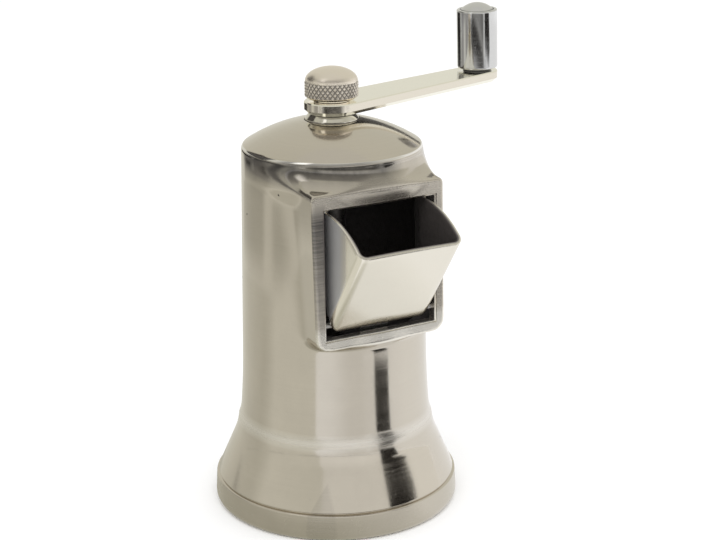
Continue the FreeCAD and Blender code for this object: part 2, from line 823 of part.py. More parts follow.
def make_rotor_nut():
    """The hexagon nut that holds the rotor on the spindle."""
    corner_radius = rotor_nut_flats / math.sqrt(3)
    corners = []
    for side in range(7):
        angle = side * math.pi / 3
        corners.append(point(corner_radius * math.cos(angle), corner_radius * math.sin(angle),
                             rotor_seat - rotor_nut_height))
    nut = Part.Face(Part.makePolygon(corners)).extrude(point(0, 0, rotor_nut_height))
    return nut.cut(cylinder(journal_radius, rotor_bottom, rotor_seat + overcut))


def make_bridge():
    """The bar under the burrs that carries the lower bush and holds the stator up."""
    bar = block(-lug_distance, lug_distance, -bridge_half_breadth, bridge_half_breadth,
                bridge_bottom, grinder_base_height)
    for side in (-1, 1):
        bar = bar.fuse(cylinder(bridge_half_breadth, bridge_bottom, grinder_base_height,
                                x=side * lug_distance))
    bar = bar.fuse(cylinder(bridge_hub_radius, hub_bottom, grinder_base_height))
    bar = bar.cut(cylinder(lower_bush_radius, hub_bottom - overcut, grinder_base_height + overcut))
    hole_radius = bridge_screw_radius + bridge_hole_clearance
    for side in (-1, 1):
        bar = bar.cut(cylinder(hole_radius, bridge_bottom - overcut, grinder_base_height + overcut,
                               x=side * lug_distance))
    return bar.removeSplitter()


def make_lower_bush():
    """The plain bush in the bridge that the spindle's lower end runs in."""
    sleeve = cylinder(lower_bush_radius, hub_bottom, grinder_base_height)
    return sleeve.cut(cylinder(journal_radius + running_clearance, hub_bottom - overcut,
                               grinder_base_height + overcut))


def bridge_screw(side):
    """One slotted screw that holds an end of the bridge."""
    x = side * lug_distance
    head_bottom = bridge_bottom - bridge_screw_head_height
    head = cylinder(bridge_screw_head_radius, head_bottom, bridge_bottom, x=x)
    shank = cylinder(bridge_screw_radius, bridge_bottom, grinder_base_height + bridge_screw_depth,
                     x=x)
    slot_reach = bridge_screw_head_radius + overcut
    slot = block(x - slot_reach, x + slot_reach, -screw_slot_width / 2, screw_slot_width / 2,
                 head_bottom - overcut, head_bottom + screw_slot_depth)
    return head.fuse(shank).cut(slot)


def make_bridge_screws():
    """The bridge's two screws."""
    return Part.makeCompound([bridge_screw(-1), bridge_screw(1)])


def rounded_bar(half_width, front, corner):
    """A tall bar behind a front plane, its two front corners rounded."""
    reach = 2 * cheek_rear_radius
    bar = block(-half_width, half_width, front, reach, -reach, reach)
    uprights = edges_where(bar, lambda middle, box: box.YMax < front + near and box.ZLength > reach)
    return bar.makeFillet(corner, uprights)


def hopper_section():
    """The channel of front panel and two cheeks, as an upright sheet of even thickness."""
    outer = rounded_bar(hopper_half_width, -hopper_face_offset, hopper_corner_radius)
    inner = rounded_bar(hopper_half_width - hopper_sheet, -hopper_face_offset + hopper_sheet,
                        hopper_corner_radius - hopper_sheet)
    return outer.cut(inner)


def polar(radius, back_angle):
    """A place at a distance from the hinge, tipped back from upright, as depth and height."""
    turn_angle = math.radians(back_angle)
    return (radius * math.sin(turn_angle), radius * math.cos(turn_angle))


def hopper_side_profile():
    """The hopper's side view about its hinge: panel, curved top edge and stop horns."""
    stop_radius = opening_top - hinge_z + stop_overlap
    stop_reach = (frame_back - stop_gap - hinge_out) / (opening_top - hinge_z)
    stop_angle = hopper_open_angle - math.degrees(math.asin(stop_reach))
    back_angle = stop_angle + stop_angle_width
    lip = (-hopper_face_offset, math.sqrt(cheek_front_radius ** 2 - hopper_face_offset ** 2))
    middle_angle = (stop_angle + math.degrees(math.atan2(-hopper_face_offset, lip[1]))) / 2
    cheek_middle = polar((cheek_front_radius + cheek_rear_radius) / 2, middle_angle)
    horn_front_low = polar(cheek_rear_radius, stop_angle)
    horn_front_high = polar(stop_radius, stop_angle)
    horn_top = polar(stop_radius, (stop_angle + back_angle) / 2)
    horn_back = polar(stop_radius, back_angle)
    foot = (-hopper_face_offset, -hopper_foot_drop)
    foot_back = (-hopper_face_offset + hopper_sheet, -hopper_foot_drop)

    def flat(place):
        return point(0, place[0], place[1])

    edges = [
        Part.LineSegment(flat(foot), flat(lip)).toShape(),
        Part.Arc(flat(lip), flat(cheek_middle), flat(horn_front_low)).toShape(),
        Part.LineSegment(flat(horn_front_low), flat(horn_front_high)).toShape(),
        Part.Arc(flat(horn_front_high), flat(horn_top), flat(horn_back)).toShape(),
        Part.LineSegment(flat(horn_back), flat(foot_back)).toShape(),
        Part.LineSegment(flat(foot_back), flat(foot)).toShape(),
    ]
    face = Part.Face(Part.Wire(edges))
    face.translate(point(-2 * hopper_half_width, 0, 0))
    return face.extrude(point(4 * hopper_half_width, 0, 0))


def hopper_front_profile():
    """The hopper's front view about its hinge, with rounded lower corners."""
    low = -hopper_foot_drop
    reach = 2 * cheek_rear_radius
    prism = block(-hopper_half_width, hopper_half_width, -reach, reach, low, reach)
    corners = edges_where(prism, lambda middle, box: box.ZMax < low + near and box.YLength > reach)
    return prism.makeFillet(hopper_foot_corner, corners)


def make_hopper():
    """The tip-out hopper, turned open about its hinge."""
    shell = hopper_section().common(hopper_side_profile()).common(hopper_front_profile())
    knuckle_half = hopper_half_width - knuckle_end_gap
    knuckle = Part.makeCylinder(knuckle_radius, 2 * knuckle_half, point(-knuckle_half, 0, 0),
                                point(1, 0, 0))
    hopper = shell.fuse(knuckle).removeSplitter()
    bore = Part.makeCylinder(hinge_pin_radius + running_clearance, 4 * knuckle_half,
                             point(-2 * knuckle_half, 0, 0), point(1, 0, 0))
    hopper = hopper.cut(bore)
    hopper.rotate(point(0, 0, 0), point(1, 0, 0), hopper_open_angle)
    hopper.translate(point(0, -hinge_out, hinge_z))
    return hopper


def make_hinge_pin():
    """The pin across the housing that the hopper turns on."""
    return pin_axis_cylinder(hinge_pin_radius, -opening_half_width - hinge_pin_hole_depth,
                             housing_half_width - seat_margin)


def make_hopper_leaf():
    """The leaf spring that rubs on the hopper's knuckle."""
    leaf = block(-leaf_half_width, leaf_half_width, -leaf_face_out,
                 -leaf_face_out + leaf_thickness, leaf_bottom, leaf_top)
    hole = leaf_screw_cylinder(leaf_screw_radius, leaf_face_out - overcut, leaf_face_out + overcut)
    return leaf.cut(hole)


def make_leaf_screw():
    """The screw that holds the leaf spring to its pad."""
    inner_face = leaf_face_out - leaf_thickness
    head_face = inner_face - leaf_screw_head_height
    head = leaf_screw_cylinder(leaf_screw_head_radius, head_face, inner_face)
    shank = leaf_screw_cylinder(leaf_screw_radius, inner_face, leaf_face_out + leaf_screw_depth)
    slot_reach = leaf_screw_head_radius + overcut
    slot = block(-slot_reach, slot_reach, -head_face - leaf_screw_slot_depth, -head_face + overcut,
                 leaf_screw_height - screw_slot_width / 2, leaf_screw_height + screw_slot_width / 2)
    return head.fuse(shank).cut(slot)


makers = {
    "body_casting": make_body_casting,
    "top_bush": make_top_bush,
    "crank_arm": make_crank_arm,
    "cap_nut": make_cap_nut,
    "grip": make_grip,
    "grip_pin": make_grip_pin,
    "grip_washer": make_grip_washer,
    "spindle": make_spindle,
    "spindle_spring": make_spindle_spring,
    "spring_washer": make_spring_washer,
    "spindle_clip": make_spindle_clip,
    "stator_ring": make_stator_ring,
    "stator_key": make_stator_key,
    "rotor_burr": make_rotor_burr,
    "rotor_nut": make_rotor_nut,
    "bridge": make_bridge,
    "lower_bush": make_lower_bush,
    "bridge_screws": make_bridge_screws,
    "hopper": make_hopper,
    "hinge_pin": make_hinge_pin,
    "hopper_leaf": make_hopper_leaf,
    "leaf_screw": make_leaf_screw,
}

os.makedirs("parts", exist_ok=True)
for name, make in makers.items():
    shape = make()
    shape.exportStep(os.path.join("parts", name + ".step"))
    print(name, "solids", len(shape.Solids), "valid", shape.isValid(),
          "volume", round(shape.Volume, 1))
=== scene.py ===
"""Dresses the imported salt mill: cast body, hopper, crank, nut and grip, with every finish.

The pieces' own sizes are in millimetres, and those of the finishes and the studio in metres.
Angles are in degrees, and become radians where they are used.
"""

import json
import logging
import math
from dataclasses import dataclass, field
from enum import Enum

import bpy
import numpy as np
from mathutils import Matrix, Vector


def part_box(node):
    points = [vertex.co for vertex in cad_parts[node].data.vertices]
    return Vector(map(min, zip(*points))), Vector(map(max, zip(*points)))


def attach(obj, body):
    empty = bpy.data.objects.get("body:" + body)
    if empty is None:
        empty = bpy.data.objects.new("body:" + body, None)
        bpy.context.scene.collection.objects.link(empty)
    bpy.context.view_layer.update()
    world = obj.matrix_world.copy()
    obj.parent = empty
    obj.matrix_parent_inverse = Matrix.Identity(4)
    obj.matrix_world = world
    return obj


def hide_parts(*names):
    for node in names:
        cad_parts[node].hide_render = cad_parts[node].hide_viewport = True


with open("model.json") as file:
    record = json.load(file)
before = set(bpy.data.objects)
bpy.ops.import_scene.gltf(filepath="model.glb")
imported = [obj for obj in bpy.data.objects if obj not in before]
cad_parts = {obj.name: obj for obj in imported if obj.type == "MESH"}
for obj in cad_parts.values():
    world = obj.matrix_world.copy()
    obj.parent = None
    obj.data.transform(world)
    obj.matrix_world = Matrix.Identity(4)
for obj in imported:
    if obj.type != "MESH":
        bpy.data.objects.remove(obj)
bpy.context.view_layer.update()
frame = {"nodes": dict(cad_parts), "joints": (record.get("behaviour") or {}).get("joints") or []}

log = logging.getLogger("salt_mill")

MM = 0.001
TWO_PI = 2 * math.pi
# How many steps a rounded corner of an outline takes
ROUND_STEPS = 5
# How far from a corner the next place of a straight run stands, in millimetres
BESIDE_CORNER = 0.12

Pair = tuple[float, float]
Triple = tuple[float, float, float]
Colour = tuple[float, float, float]


# Surfaces


@dataclass
class Shell:
    """One closed surface: places in millimetres and faces of corner numbers.

    A triangle has -1 as its fourth corner. inside is 1 where the surface lies in a hollow.
    """

    places: np.ndarray
    faces: np.ndarray
    inside: np.ndarray

    def volume(self) -> float:
        """The signed volume, which is positive when the faces point outwards."""
        tri = self.faces[:, :3]
        quads = self.faces[self.faces[:, 3] >= 0]
        tri = np.vstack([tri, quads[:, [0, 2, 3]]])
        a, b, c = (self.places[tri[:, k]] for k in range(3))
        return float(np.einsum("ij,ij->i", a, np.cross(b, c)).sum() / 6)

    def outward(self) -> "Shell":
        """The same shell with its faces pointing outwards."""
        if self.volume() < 0:
            corners = self.faces.copy()
            quads = corners[:, 3] >= 0
            corners[quads] = corners[quads][:, ::-1]
            corners[~quads, :3] = corners[~quads, 2::-1]
            self.faces = corners
        return self

    def moved(self, turn: np.ndarray, shift: np.ndarray) -> "Shell":
        """The shell turned by a 3 by 3 matrix and then shifted."""
        return Shell(self.places @ turn.T + shift, self.faces, self.inside)


def grid_faces(rows: int, columns: int, wrap_rows: bool, wrap_columns: bool) -> np.ndarray:
    """The four-cornered faces of a grid whose corners are numbered row by row.

    Args:
        rows: how many rows of corners the grid has.
        columns: how many corners a row has.
        wrap_rows: whether the last row joins the first.
        wrap_columns: whether the last column joins the first.

    Returns:
        One row of four corner numbers for each face.
    """
    i, j = np.meshgrid(np.arange(rows if wrap_rows else rows - 1),
                       np.arange(columns if wrap_columns else columns - 1), indexing="ij")
    below, left = (i + 1) % rows, (j + 1) % columns
    return np.stack([i * columns + j, i * columns + left,
                     below * columns + left, below * columns + j], -1).reshape(-1, 4)


def fan_faces(pole: int, ring: np.ndarray) -> np.ndarray:
    """Triangles from a pole to each step of a closed ring of corner numbers."""
    return np.stack([np.full(len(ring), pole), ring, np.roll(ring, -1),
                     np.full(len(ring), -1)], -1)


def turned(outline: np.ndarray, steps: int, inside_from: float = math.inf) -> Shell:
    """The surface that an outline of radius and height sweeps round the Z axis.

    The place at angle a is (r cos a, r sin a, z) for each (r, z) of the outline. An outline
    that starts and ends on the axis closes there in two poles, and any other closes on itself.

    Args:
        outline: rows of radius and height.
        steps: how many places a turn has.
        inside_from: the share of the outline from which the surface counts as inside.

    Returns:
        The closed shell, facing outwards.
    """
    poles = outline[0, 0] < 1e-6 and outline[-1, 0] < 1e-6
    rings = outline[1:-1] if poles else outline
    angle = np.arange(steps) * TWO_PI / steps
    places = np.stack([rings[:, :1] * np.cos(angle), rings[:, :1] * np.sin(angle),
                       np.repeat(rings[:, 1:], steps, 1)], -1).reshape(-1, 3)
    faces = grid_faces(len(rings), steps, not poles, True)
    shares = np.repeat(np.arange(len(rings)) / len(rings), steps)
    inside = (shares >= inside_from).astype(float)
    if poles:
        count = len(places)
        ends = np.array([[0, 0, outline[0, 1]], [0, 0, outline[-1, 1]]])
        places = np.vstack([places, ends])
        inside = np.append(inside, [inside[0], inside[-1]])
        first, last = np.arange(steps), np.arange(steps) + (len(rings) - 1) * steps
        faces = np.vstack([faces, fan_faces(count, first), fan_faces(count + 1, last[::-1])])
    return Shell(places, faces, inside).outward()


def capped_tube(grid: np.ndarray, inside: np.ndarray) -> Shell:
    """A tube whose rows wrap, with a ladder of faces over each of its two open ends.

    Args:
        grid: places by row and column. The rows run round the tube's thin section.
        inside: by row, 1 where the row lies in a hollow.

    Returns:
        The closed shell, facing outwards.
    """
    rows, columns = grid.shape[:2]
    faces = [grid_faces(rows, columns, True, False)]
    low = np.arange(rows // 2 - 1)
    for column, turn in ((0, 1), (columns - 1, -1)):
        cap = np.stack([low, low + 1, rows - 2 - low, rows - 1 - low], -1)[:, ::turn]
        faces.append(cap[:, ::-1] * columns + column)
    return Shell(grid.reshape(-1, 3), np.vstack(faces), np.repeat(inside, columns)).outward()


def joined(shells: list[Shell]) -> Shell:
    """Several shells as one set of places and faces.

    Args:
        shells: the shells, which stay separate surfaces.

    Returns:
        One shell that holds them all.
    """
    starts = np.cumsum([0] + [len(shell.places) for shell in shells[:-1]])
    faces = [np.where(s.faces >= 0, s.faces + n, -1) for s, n in zip(shells, starts)]
    return Shell(np.vstack([s.places for s in shells]), np.vstack(faces),
                 np.concatenate([s.inside for s in shells]))


def arc_places(start: tuple, direction: tuple, end: tuple, steps: int) -> np.ndarray:
    """Places along the arc that leaves start along a direction and ends at end.

    The arc turns by twice the angle between the direction and the chord, so the chord to a
    share s of the arc makes s times that angle with the direction.

    Args:
        start: radius and height of the first place.
        direction: the direction in which the arc leaves it.
        end: radius and height of the last place.
        steps: how many equal steps the arc takes.

    Returns:
        The places after the first, as rows of radius and height.
    """
    chord = np.subtract(end, start)
    heading = math.atan2(direction[1], direction[0])
    half = (math.atan2(chord[1], chord[0]) - heading + math.pi) % TWO_PI - math.pi
    share = np.arange(1, steps + 1) / steps
    length = np.hypot(*chord) * (np.sin(half * share) / math.sin(half) if abs(half) > 1e-9 else share)
    angle = heading + half * share
    return np.asarray(start) + length[:, None] * np.stack([np.cos(angle), np.sin(angle)], -1)


def rounded_outline(corners: list[tuple], spacing: float, closed: bool) -> np.ndarray:
    """A polygon with rounded corners and places close beside each round.

    Args:
        corners: (radius, height, rounding) of each corner. A rounding of 0 keeps it sharp.
        spacing: the longest step along a straight run.
        closed: whether the last corner joins the first.

    Returns:
        The places in order, as rows of radius and height.
    """
    places = np.array([corner[:2] for corner in corners], float)
    runs = []
    for k, (_, _, rounding) in enumerate(corners):
        before = places[k - 1] if k or closed else None
        after = places[(k + 1) % len(places)] if k < len(places) - 1 or closed else None
        here = places[k]
        if rounding and before is not None and after is not None:
            back = (before - here) / np.hypot(*(before - here))
            ahead = (after - here) / np.hypot(*(after - here))
            half = math.acos(np.clip(back @ ahead, -1, 1)) / 2
            reach = rounding / math.tan(half)
            start = here + back * reach
            end = here + ahead * reach
            bend = arc_places(tuple(start), tuple(-back), tuple(end), ROUND_STEPS)
            runs.append(np.vstack([start, bend]))
        else:
            runs.append(here[None])
    if closed:
        runs.append(runs[0][:1])
    made = [runs[0]]
    for before, after in zip(runs[:-1], runs[1:]):
        made.append(straight(before[-1], after[0], spacing))
        made.append(after)
    outline = np.vstack(made)
    return outline[:-1] if closed else outline


def straight(start: np.ndarray, end: np.ndarray, spacing: float) -> np.ndarray:
    """Places between two ends of a straight run, with one close beside each end.

    Args:
        start: radius and height where the run starts.
        end: radius and height where it ends.
        spacing: the longest step between two places.

    Returns:
        The places between the ends, as rows of radius and height.
    """
    length = np.hypot(*(end - start))
    beside = min(BESIDE_CORNER, length / 4)
    count = max(int(length // spacing), 0)
    share = np.linspace(beside / length, 1 - beside / length, count + 2) if length > 1e-6 else []
    return start + np.outer(share, end - start)


def placed(name: str, data: bpy.types.ID) -> bpy.types.Object:
    """Puts a mesh, a light or a camera in the scene, at the origin.

    Args:
        name: the object's name.
        data: what it shows.

    Returns:
        The object.
    """
    made = bpy.data.objects.new(name, data)
    bpy.context.scene.collection.objects.link(made)
    return made


def make_piece(name: str, shell: Shell, body: str, node: str,
               material: bpy.types.Material, sharp_angle: float = 35.0) -> bpy.types.Object:
    """Makes a Blender object of a shell, and says what it stands for.

    Args:
        name: the piece's name.
        shell: its surface, in millimetres.
        body: the body that it rides on.
        node: the node that it replaces.
        material: its finish.
        sharp_angle: faces that meet at more degrees than this keep a sharp edge.

    Returns:
        The object, at the origin.
    """
    mesh = bpy.data.meshes.new(name)
    corners = shell.faces[shell.faces >= 0]
    sizes = (shell.faces >= 0).sum(1)
    mesh.vertices.add(len(shell.places))
    mesh.vertices.foreach_set("co", (shell.places * MM).astype(np.float32).ravel())
    mesh.loops.add(len(corners))
    mesh.loops.foreach_set("vertex_index", corners.astype(np.int32))
    mesh.polygons.add(len(sizes))
    mesh.polygons.foreach_set("loop_start", np.append(0, np.cumsum(sizes)[:-1]).astype(np.int32))
    mesh.update(calc_edges=True)
    mesh.polygons.foreach_set("use_smooth", np.ones(len(sizes), bool))
    mesh.attributes.new("inside", "FLOAT", "POINT").data.foreach_set(
        "value", shell.inside.astype(np.float32))
    mesh.set_sharp_from_angle(angle=math.radians(sharp_angle))
    mesh.materials.append(material)
    piece = placed(name, mesh)
    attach(piece, body)
    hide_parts(node)
    log.info("%s: %d faces in place of %s", name, len(sizes), node)
    return piece


# Finishes

Socket = bpy.types.NodeSocket


class NodeSheet:
    """A material's nodes, with short ways to add and join them."""

    def __init__(self, name: str) -> None:
        """Starts a material with one metallic shader.

        Args:
            name: the material's name.
        """
        self.material = bpy.data.materials.new(name)
        self.material.use_nodes = True
        self.tree = self.material.node_tree
        self.shader = self.tree.nodes["Principled BSDF"]
        self.place = self.add("ShaderNodeTexCoord").outputs["Object"]

    def add(self, kind: str, **settings: object) -> bpy.types.Node:
        """Adds a node.

        Args:
            kind: the node's type.
            settings: its named properties.

        Returns:
            The node.
        """
        node = self.tree.nodes.new(kind)
        for key, value in settings.items():
            setattr(node, key, value)
        return node

    def feed(self, socket: Socket, source: object) -> None:
        """Sets a socket to a value, or joins it to another socket.

        Args:
            socket: the socket that takes it.
            source: the value or the other socket.
        """
        if isinstance(source, Socket):
            self.tree.links.new(source, socket)
        else:
            socket.default_value = source

    def maths(self, operation: str, *sources: object) -> Socket:
        """Adds a maths node.

        Args:
            operation: what it works out.
            sources: one to three values or sockets.

        Returns:
            Its result.
        """
        node = self.add("ShaderNodeMath", operation=operation)
        for socket, source in zip(node.inputs, sources):
            self.feed(socket, source)
        return node.outputs[0]

    def product(self, first: Socket, *others: object) -> Socket:
        """Multiplies several sockets or values.

        Args:
            first: the first of them.
            others: the rest.

        Returns:
            Their product.
        """
        for other in others:
            first = self.maths("MULTIPLY", first, other)
        return first

    def axes(self, source: Socket) -> tuple[Socket, ...]:
        """Splits a place or a direction.

        Args:
            source: the place or direction.

        Returns:
            Its parts along X, Y and Z.
        """
        node = self.add("ShaderNodeSeparateXYZ")
        self.feed(node.inputs[0], source)
        return tuple(node.outputs)

    def upward(self) -> Socket:
        """How far the surface faces up: 1 on top, 0 on a side and -1 below."""
        return self.axes(self.add("ShaderNodeNewGeometry").outputs["Normal"])[2]

    def noise(self, scale: Triple, detail: float, roughness: float) -> Socket:
        """Gives soft random values from 0 to 1 over the object's own place in metres.

        Args:
            scale: how many features a metre has along X, Y and Z.
            detail: how many finer layers are laid over the first.
            roughness: how strong the finer layers are.

        Returns:
            The values.
        """
        spread = self.add("ShaderNodeMapping")
        self.feed(spread.inputs["Vector"], self.place)
        spread.inputs["Scale"].default_value = scale
        node = self.add("ShaderNodeTexNoise")
        for key, value in (("Vector", spread.outputs[0]), ("Scale", 1.0), ("Detail", detail),
                           ("Roughness", roughness)):
            self.feed(node.inputs[key], value)
        return node.outputs["Fac"]

    def band(self, source: object, low: float, high: float, to_low: float,
             to_high: float) -> Socket:
        """Maps values from one range to another, and holds them there.

        Args:
            source: the values.
            low: the value that becomes to_low, as all below it do.
            high: the value that becomes to_high, as all above it do.
            to_low: the result at and below low.
            to_high: the result at and above high.

        Returns:
            The mapped values.
        """
        node = self.add("ShaderNodeMapRange", clamp=True)
        for key, value in (("Value", source), ("From Min", low), ("From Max", high),
                           ("To Min", to_low), ("To Max", to_high)):
            self.feed(node.inputs[key], value)
        return node.outputs[0]

    def rising(self, source: object, low: float, high: float) -> Socket:
        """Gives 0 where the source is below low and 1 where it is above high."""
        return self.band(source, low, high, 0.0, 1.0)

    def falling(self, source: object, low: float, high: float) -> Socket:
        """Gives 1 where the source is below low and 0 where it is above high."""
        return self.band(source, low, high, 1.0, 0.0)

    def mixed(self, share: object, low: object, high: object) -> Socket:
        """Gives a colour between two others.

        Args:
            share: 0 for the first, 1 for the second, or a share between them.
            low: the first colour, or a socket that gives it.
            high: the second colour, or a socket that gives it.

        Returns:
            The mixed colour.
        """
        node = self.add("ShaderNodeMix", data_type="RGBA")
        self.feed(node.inputs["Factor"], share)
        for key, colour in (("A", low), ("B", high)):
            socket = next(s for s in node.inputs if s.name == key and s.type == "RGBA")
            self.feed(socket, colour if isinstance(colour, Socket) else (*colour, 1))
        return next(s for s in node.outputs if s.type == "RGBA")

    def bump(self, height: Socket, depth: float, under: Socket | None = None) -> Socket:
        """Gives a normal that follows a height.

        Args:
            height: the height, from 0 to 1.
            depth: how many metres 1 stands for.
            under: a relief that this one lies over.

        Returns:
            The normal.
        """
        node = self.add("ShaderNodeBump")
        node.inputs["Strength"].default_value = 1.0
        node.inputs["Distance"].default_value = depth
        self.feed(node.inputs["Height"], height)
        if under is not None:
            self.feed(node.inputs["Normal"], under)
        return node.outputs[0]

    def attribute(self, name: str, output: str) -> Socket:
        """One of the mesh's own attributes, as a number (Fac) or a colour (Color)."""
        return self.add("ShaderNodeAttribute", attribute_name=name).outputs[output]

    def finish(self, colour: object, roughness: object, normal: Socket | None = None,
               metallic: object = 1.0) -> bpy.types.Material:
        """Joins the shader's sockets.

        Args:
            colour: the base colour, or a socket that gives it.
            roughness: the roughness, or a socket that gives it.
            normal: the relief.
            metallic: 1 for bare metal, 0 for none, or a socket that gives it.

        Returns:
            The material.
        """
        self.feed(self.shader.inputs["Metallic"], metallic)
        self.feed(self.shader.inputs["Base Color"], colour)
        self.feed(self.shader.inputs["Roughness"], roughness)
        if normal is not None:
            self.feed(self.shader.inputs["Normal"], normal)
        return self.material


@dataclass
class Coat:
    """A finish that is being built up: its nodes, and the tone, gloss and relief so far."""

    sheet: NodeSheet
    tone: Socket
    gloss: Socket
    relief: Socket

    def mark(self, share: Socket, tone: Colour | None = None, dullness: float = 0.0) -> None:
        """Adds a mark, which has its own tone and is duller than what lies round it.

        Args:
            share: how much of the mark a place has, from 0 to 1.
            tone: the mark's tone, or None where the tone stays as it is.
            dullness: the roughness that it adds.
        """
        if tone is not None:
            self.tone = self.sheet.mixed(share, self.tone, tone)
        if dullness:
            self.gloss = self.sheet.maths("MULTIPLY_ADD", share, dullness, self.gloss)

    def emboss(self, height: Socket, depth: float) -> None:
        """Lays a height of so many metres over the relief so far."""
        self.relief = self.sheet.bump(height, depth, self.relief)


class Grain(Enum):
    """The direction in which a finish was polished, as the noise scale of its fine lines."""

    ROUND = (14.0, 14.0, 5200.0)
    UPRIGHT = (4200.0, 4200.0, 26.0)
    EVEN = (900.0, 900.0, 900.0)


class Mottle(Enum):
    """The irregular patterns of wear, dirt and painted reflection, each as its noise scale."""

    CLOUDS = (60.0, 60.0, 110.0)
    SCRATCHES = (2600.0, 380.0, 900.0)
    CAST_SKIN = (700.0, 700.0, 700.0)
    RIM_REFLECTION = (150.0, 150.0, 110.0)
    STROKES = (60.0, 60.0, 2600.0)
    TOOL_MARKS = (300.0, 300.0, 4000.0)
    SOIL = (260.0, 260.0, 260.0)


@dataclass(frozen=True)
class PolishedMetal:
    """A polished metal with fine lines, faint clouds and waves, and a dull inside."""

    name: str
    tone: Colour
    grain: Grain
    gloss_low: float
    gloss_high: float
    dark_share: float = 0.93
    pale_share: float = 1.04
    line_share: float = 0.6
    line_depth: float = 0.0000012
    cloud_share: float = 0.4
    cloud_dullness: float = 0.05
    wave_depth: float = 0.00003
    wave_scale: float = 45.0
    wave_stretch: float = 0.6
    scratch_dullness: float = 0.10
    scratch_depth: float = 0.000003
    inside_tone: Colour | None = (0.16, 0.145, 0.14)
    inside_shade: float = 0.7
    inside_rough: float = 0.55
    inside_metallic: float = 0.35
    inside_depth: float = 0.0002

    def build(self) -> bpy.types.Material:
        """Makes the material: tone, gloss and relief all follow the same lines."""
        sheet = NodeSheet(self.name)
        lines = sheet.noise(self.grain.value, 4.0, 0.6)
        clouds = sheet.noise(Mottle.CLOUDS.value, 3.0, 0.6)
        waves = sheet.noise((self.wave_scale, self.wave_scale, self.wave_scale * self.wave_stretch),
                            1.0, 0.4)
        pale = tuple(min(1.0, channel * self.pale_share) for channel in self.tone)
        dark = tuple(channel * self.dark_share for channel in self.tone)
        streaks = sheet.product(lines, self.line_share)
        tone = sheet.mixed(sheet.maths("MULTIPLY_ADD", clouds, self.cloud_share, streaks), dark, pale)
        gloss = sheet.band(lines, 0.3, 0.75, self.gloss_low, self.gloss_high)
        gloss = sheet.maths("ADD", gloss, sheet.band(clouds, 0.45, 0.8, 0.0, self.cloud_dullness))
        coat = Coat(sheet, tone, gloss, sheet.bump(waves, self.wave_depth))
        coat.emboss(lines, self.line_depth)
        self.wear(coat)
        sheet.shader.inputs["Base Color"].default_value = (*self.tone, 1)
        sheet.shader.inputs["Metallic"].default_value = 1.0
        if self.inside_tone is None:
            return sheet.finish(coat.tone, coat.gloss, coat.relief)
        inside = sheet.attribute("inside", "Fac")
        skin = sheet.noise(Mottle.CAST_SKIN.value, 5.0, 0.6)
        shade = tuple(channel * self.inside_shade for channel in self.inside_tone)
        tone = sheet.mixed(inside, coat.tone, sheet.mixed(skin, shade, self.inside_tone))
        gloss = sheet.maths("MAXIMUM", coat.gloss, sheet.product(inside, self.inside_rough))
        coat.emboss(sheet.product(inside, skin), self.inside_depth)
        metallic = sheet.band(inside, 0.0, 1.0, 1.0, self.inside_metallic)
        return sheet.finish(tone, gloss, coat.relief, metallic)

    def wear(self, coat: Coat) -> None:
        """Adds scratches too fine to see one by one: short marks that catch the light.

        Args:
            coat: the finish so far.
        """
        scratches = coat.sheet.noise(Mottle.SCRATCHES.value, 2.0, 0.7)
        marks = coat.sheet.rising(scratches, 0.66, 0.74)
        coat.mark(marks, dullness=self.scratch_dullness)
        coat.emboss(marks, self.scratch_depth)


@dataclass(frozen=True)
class NutMetal(PolishedMetal):
    """The cap nut's plating, matt on its dome and bright on the knurl below, with painted shade in
    the knurl's grooves.
    """

    dome_edge: Pair = (0.1114, 0.1116)
    dome_dullness: float = 0.22

    def wear(self, coat: Coat) -> None:
        """Makes the dome duller, over the common wear.

        Args:
            coat: the finish so far.
        """
        super().wear(coat)
        height = coat.sheet.axes(coat.sheet.place)[2]
        coat.mark(coat.sheet.rising(height, *self.dome_edge), dullness=self.dome_dullness)


@dataclass(frozen=True)
class ArmMetal(PolishedMetal):
    """The crank's plating, bright on top, with painted shade: a little darker on its sides and nearly
    black on the faces that look down.
    """

    # Painted shade: sides a little darker, and faces that look down nearly black and duller
    side_facing: Pair = (0.3, 0.6)
    painted_side_shade: Colour = (0.80, 0.75, 0.65)
    under_facing: Pair = (-0.95, -0.85)
    darkening: Colour = (0.07, 0.065, 0.06)
    darkening_dullness: float = 0.4

    def wear(self, coat: Coat) -> None:
        """Paints shade on the sides and on the faces that look down, over the common wear.

        Args:
            coat: the finish so far.
        """
        super().wear(coat)
        sheet = coat.sheet
        upward = sheet.upward()
        # Painted shade on the sides, and nearly black painted shade on the faces that look down
        coat.mark(sheet.falling(sheet.maths("ABSOLUTE", upward), *self.side_facing), self.painted_side_shade)
        coat.mark(sheet.falling(upward, *self.under_facing), self.darkening, self.darkening_dullness)


@dataclass(frozen=True)
class HopperMetal(PolishedMetal):
    """The hopper's sheet, bright in front, and duller and bluish grey on the cheeks' outer faces
    towards the back.
    """

    cheek_side: Pair = (0.0142, 0.0143)
    cheek_depth: Pair = (-0.0330, -0.0290)
    cheek_tone: Colour = (0.64, 0.64, 0.66)
    cheek_dullness: float = 0.42

    def wear(self, coat: Coat) -> None:
        """Makes the cheeks' outer faces duller and bluish grey, over the common wear.

        Args:
            coat: the finish so far.
        """
        super().wear(coat)
        sheet = coat.sheet
        x, y, _ = sheet.axes(sheet.place)
        side = sheet.rising(sheet.maths("ABSOLUTE", x), *self.cheek_side)
        tinted_area = sheet.product(side, sheet.rising(y, *self.cheek_depth))
        coat.mark(tinted_area, self.cheek_tone, self.cheek_dullness)


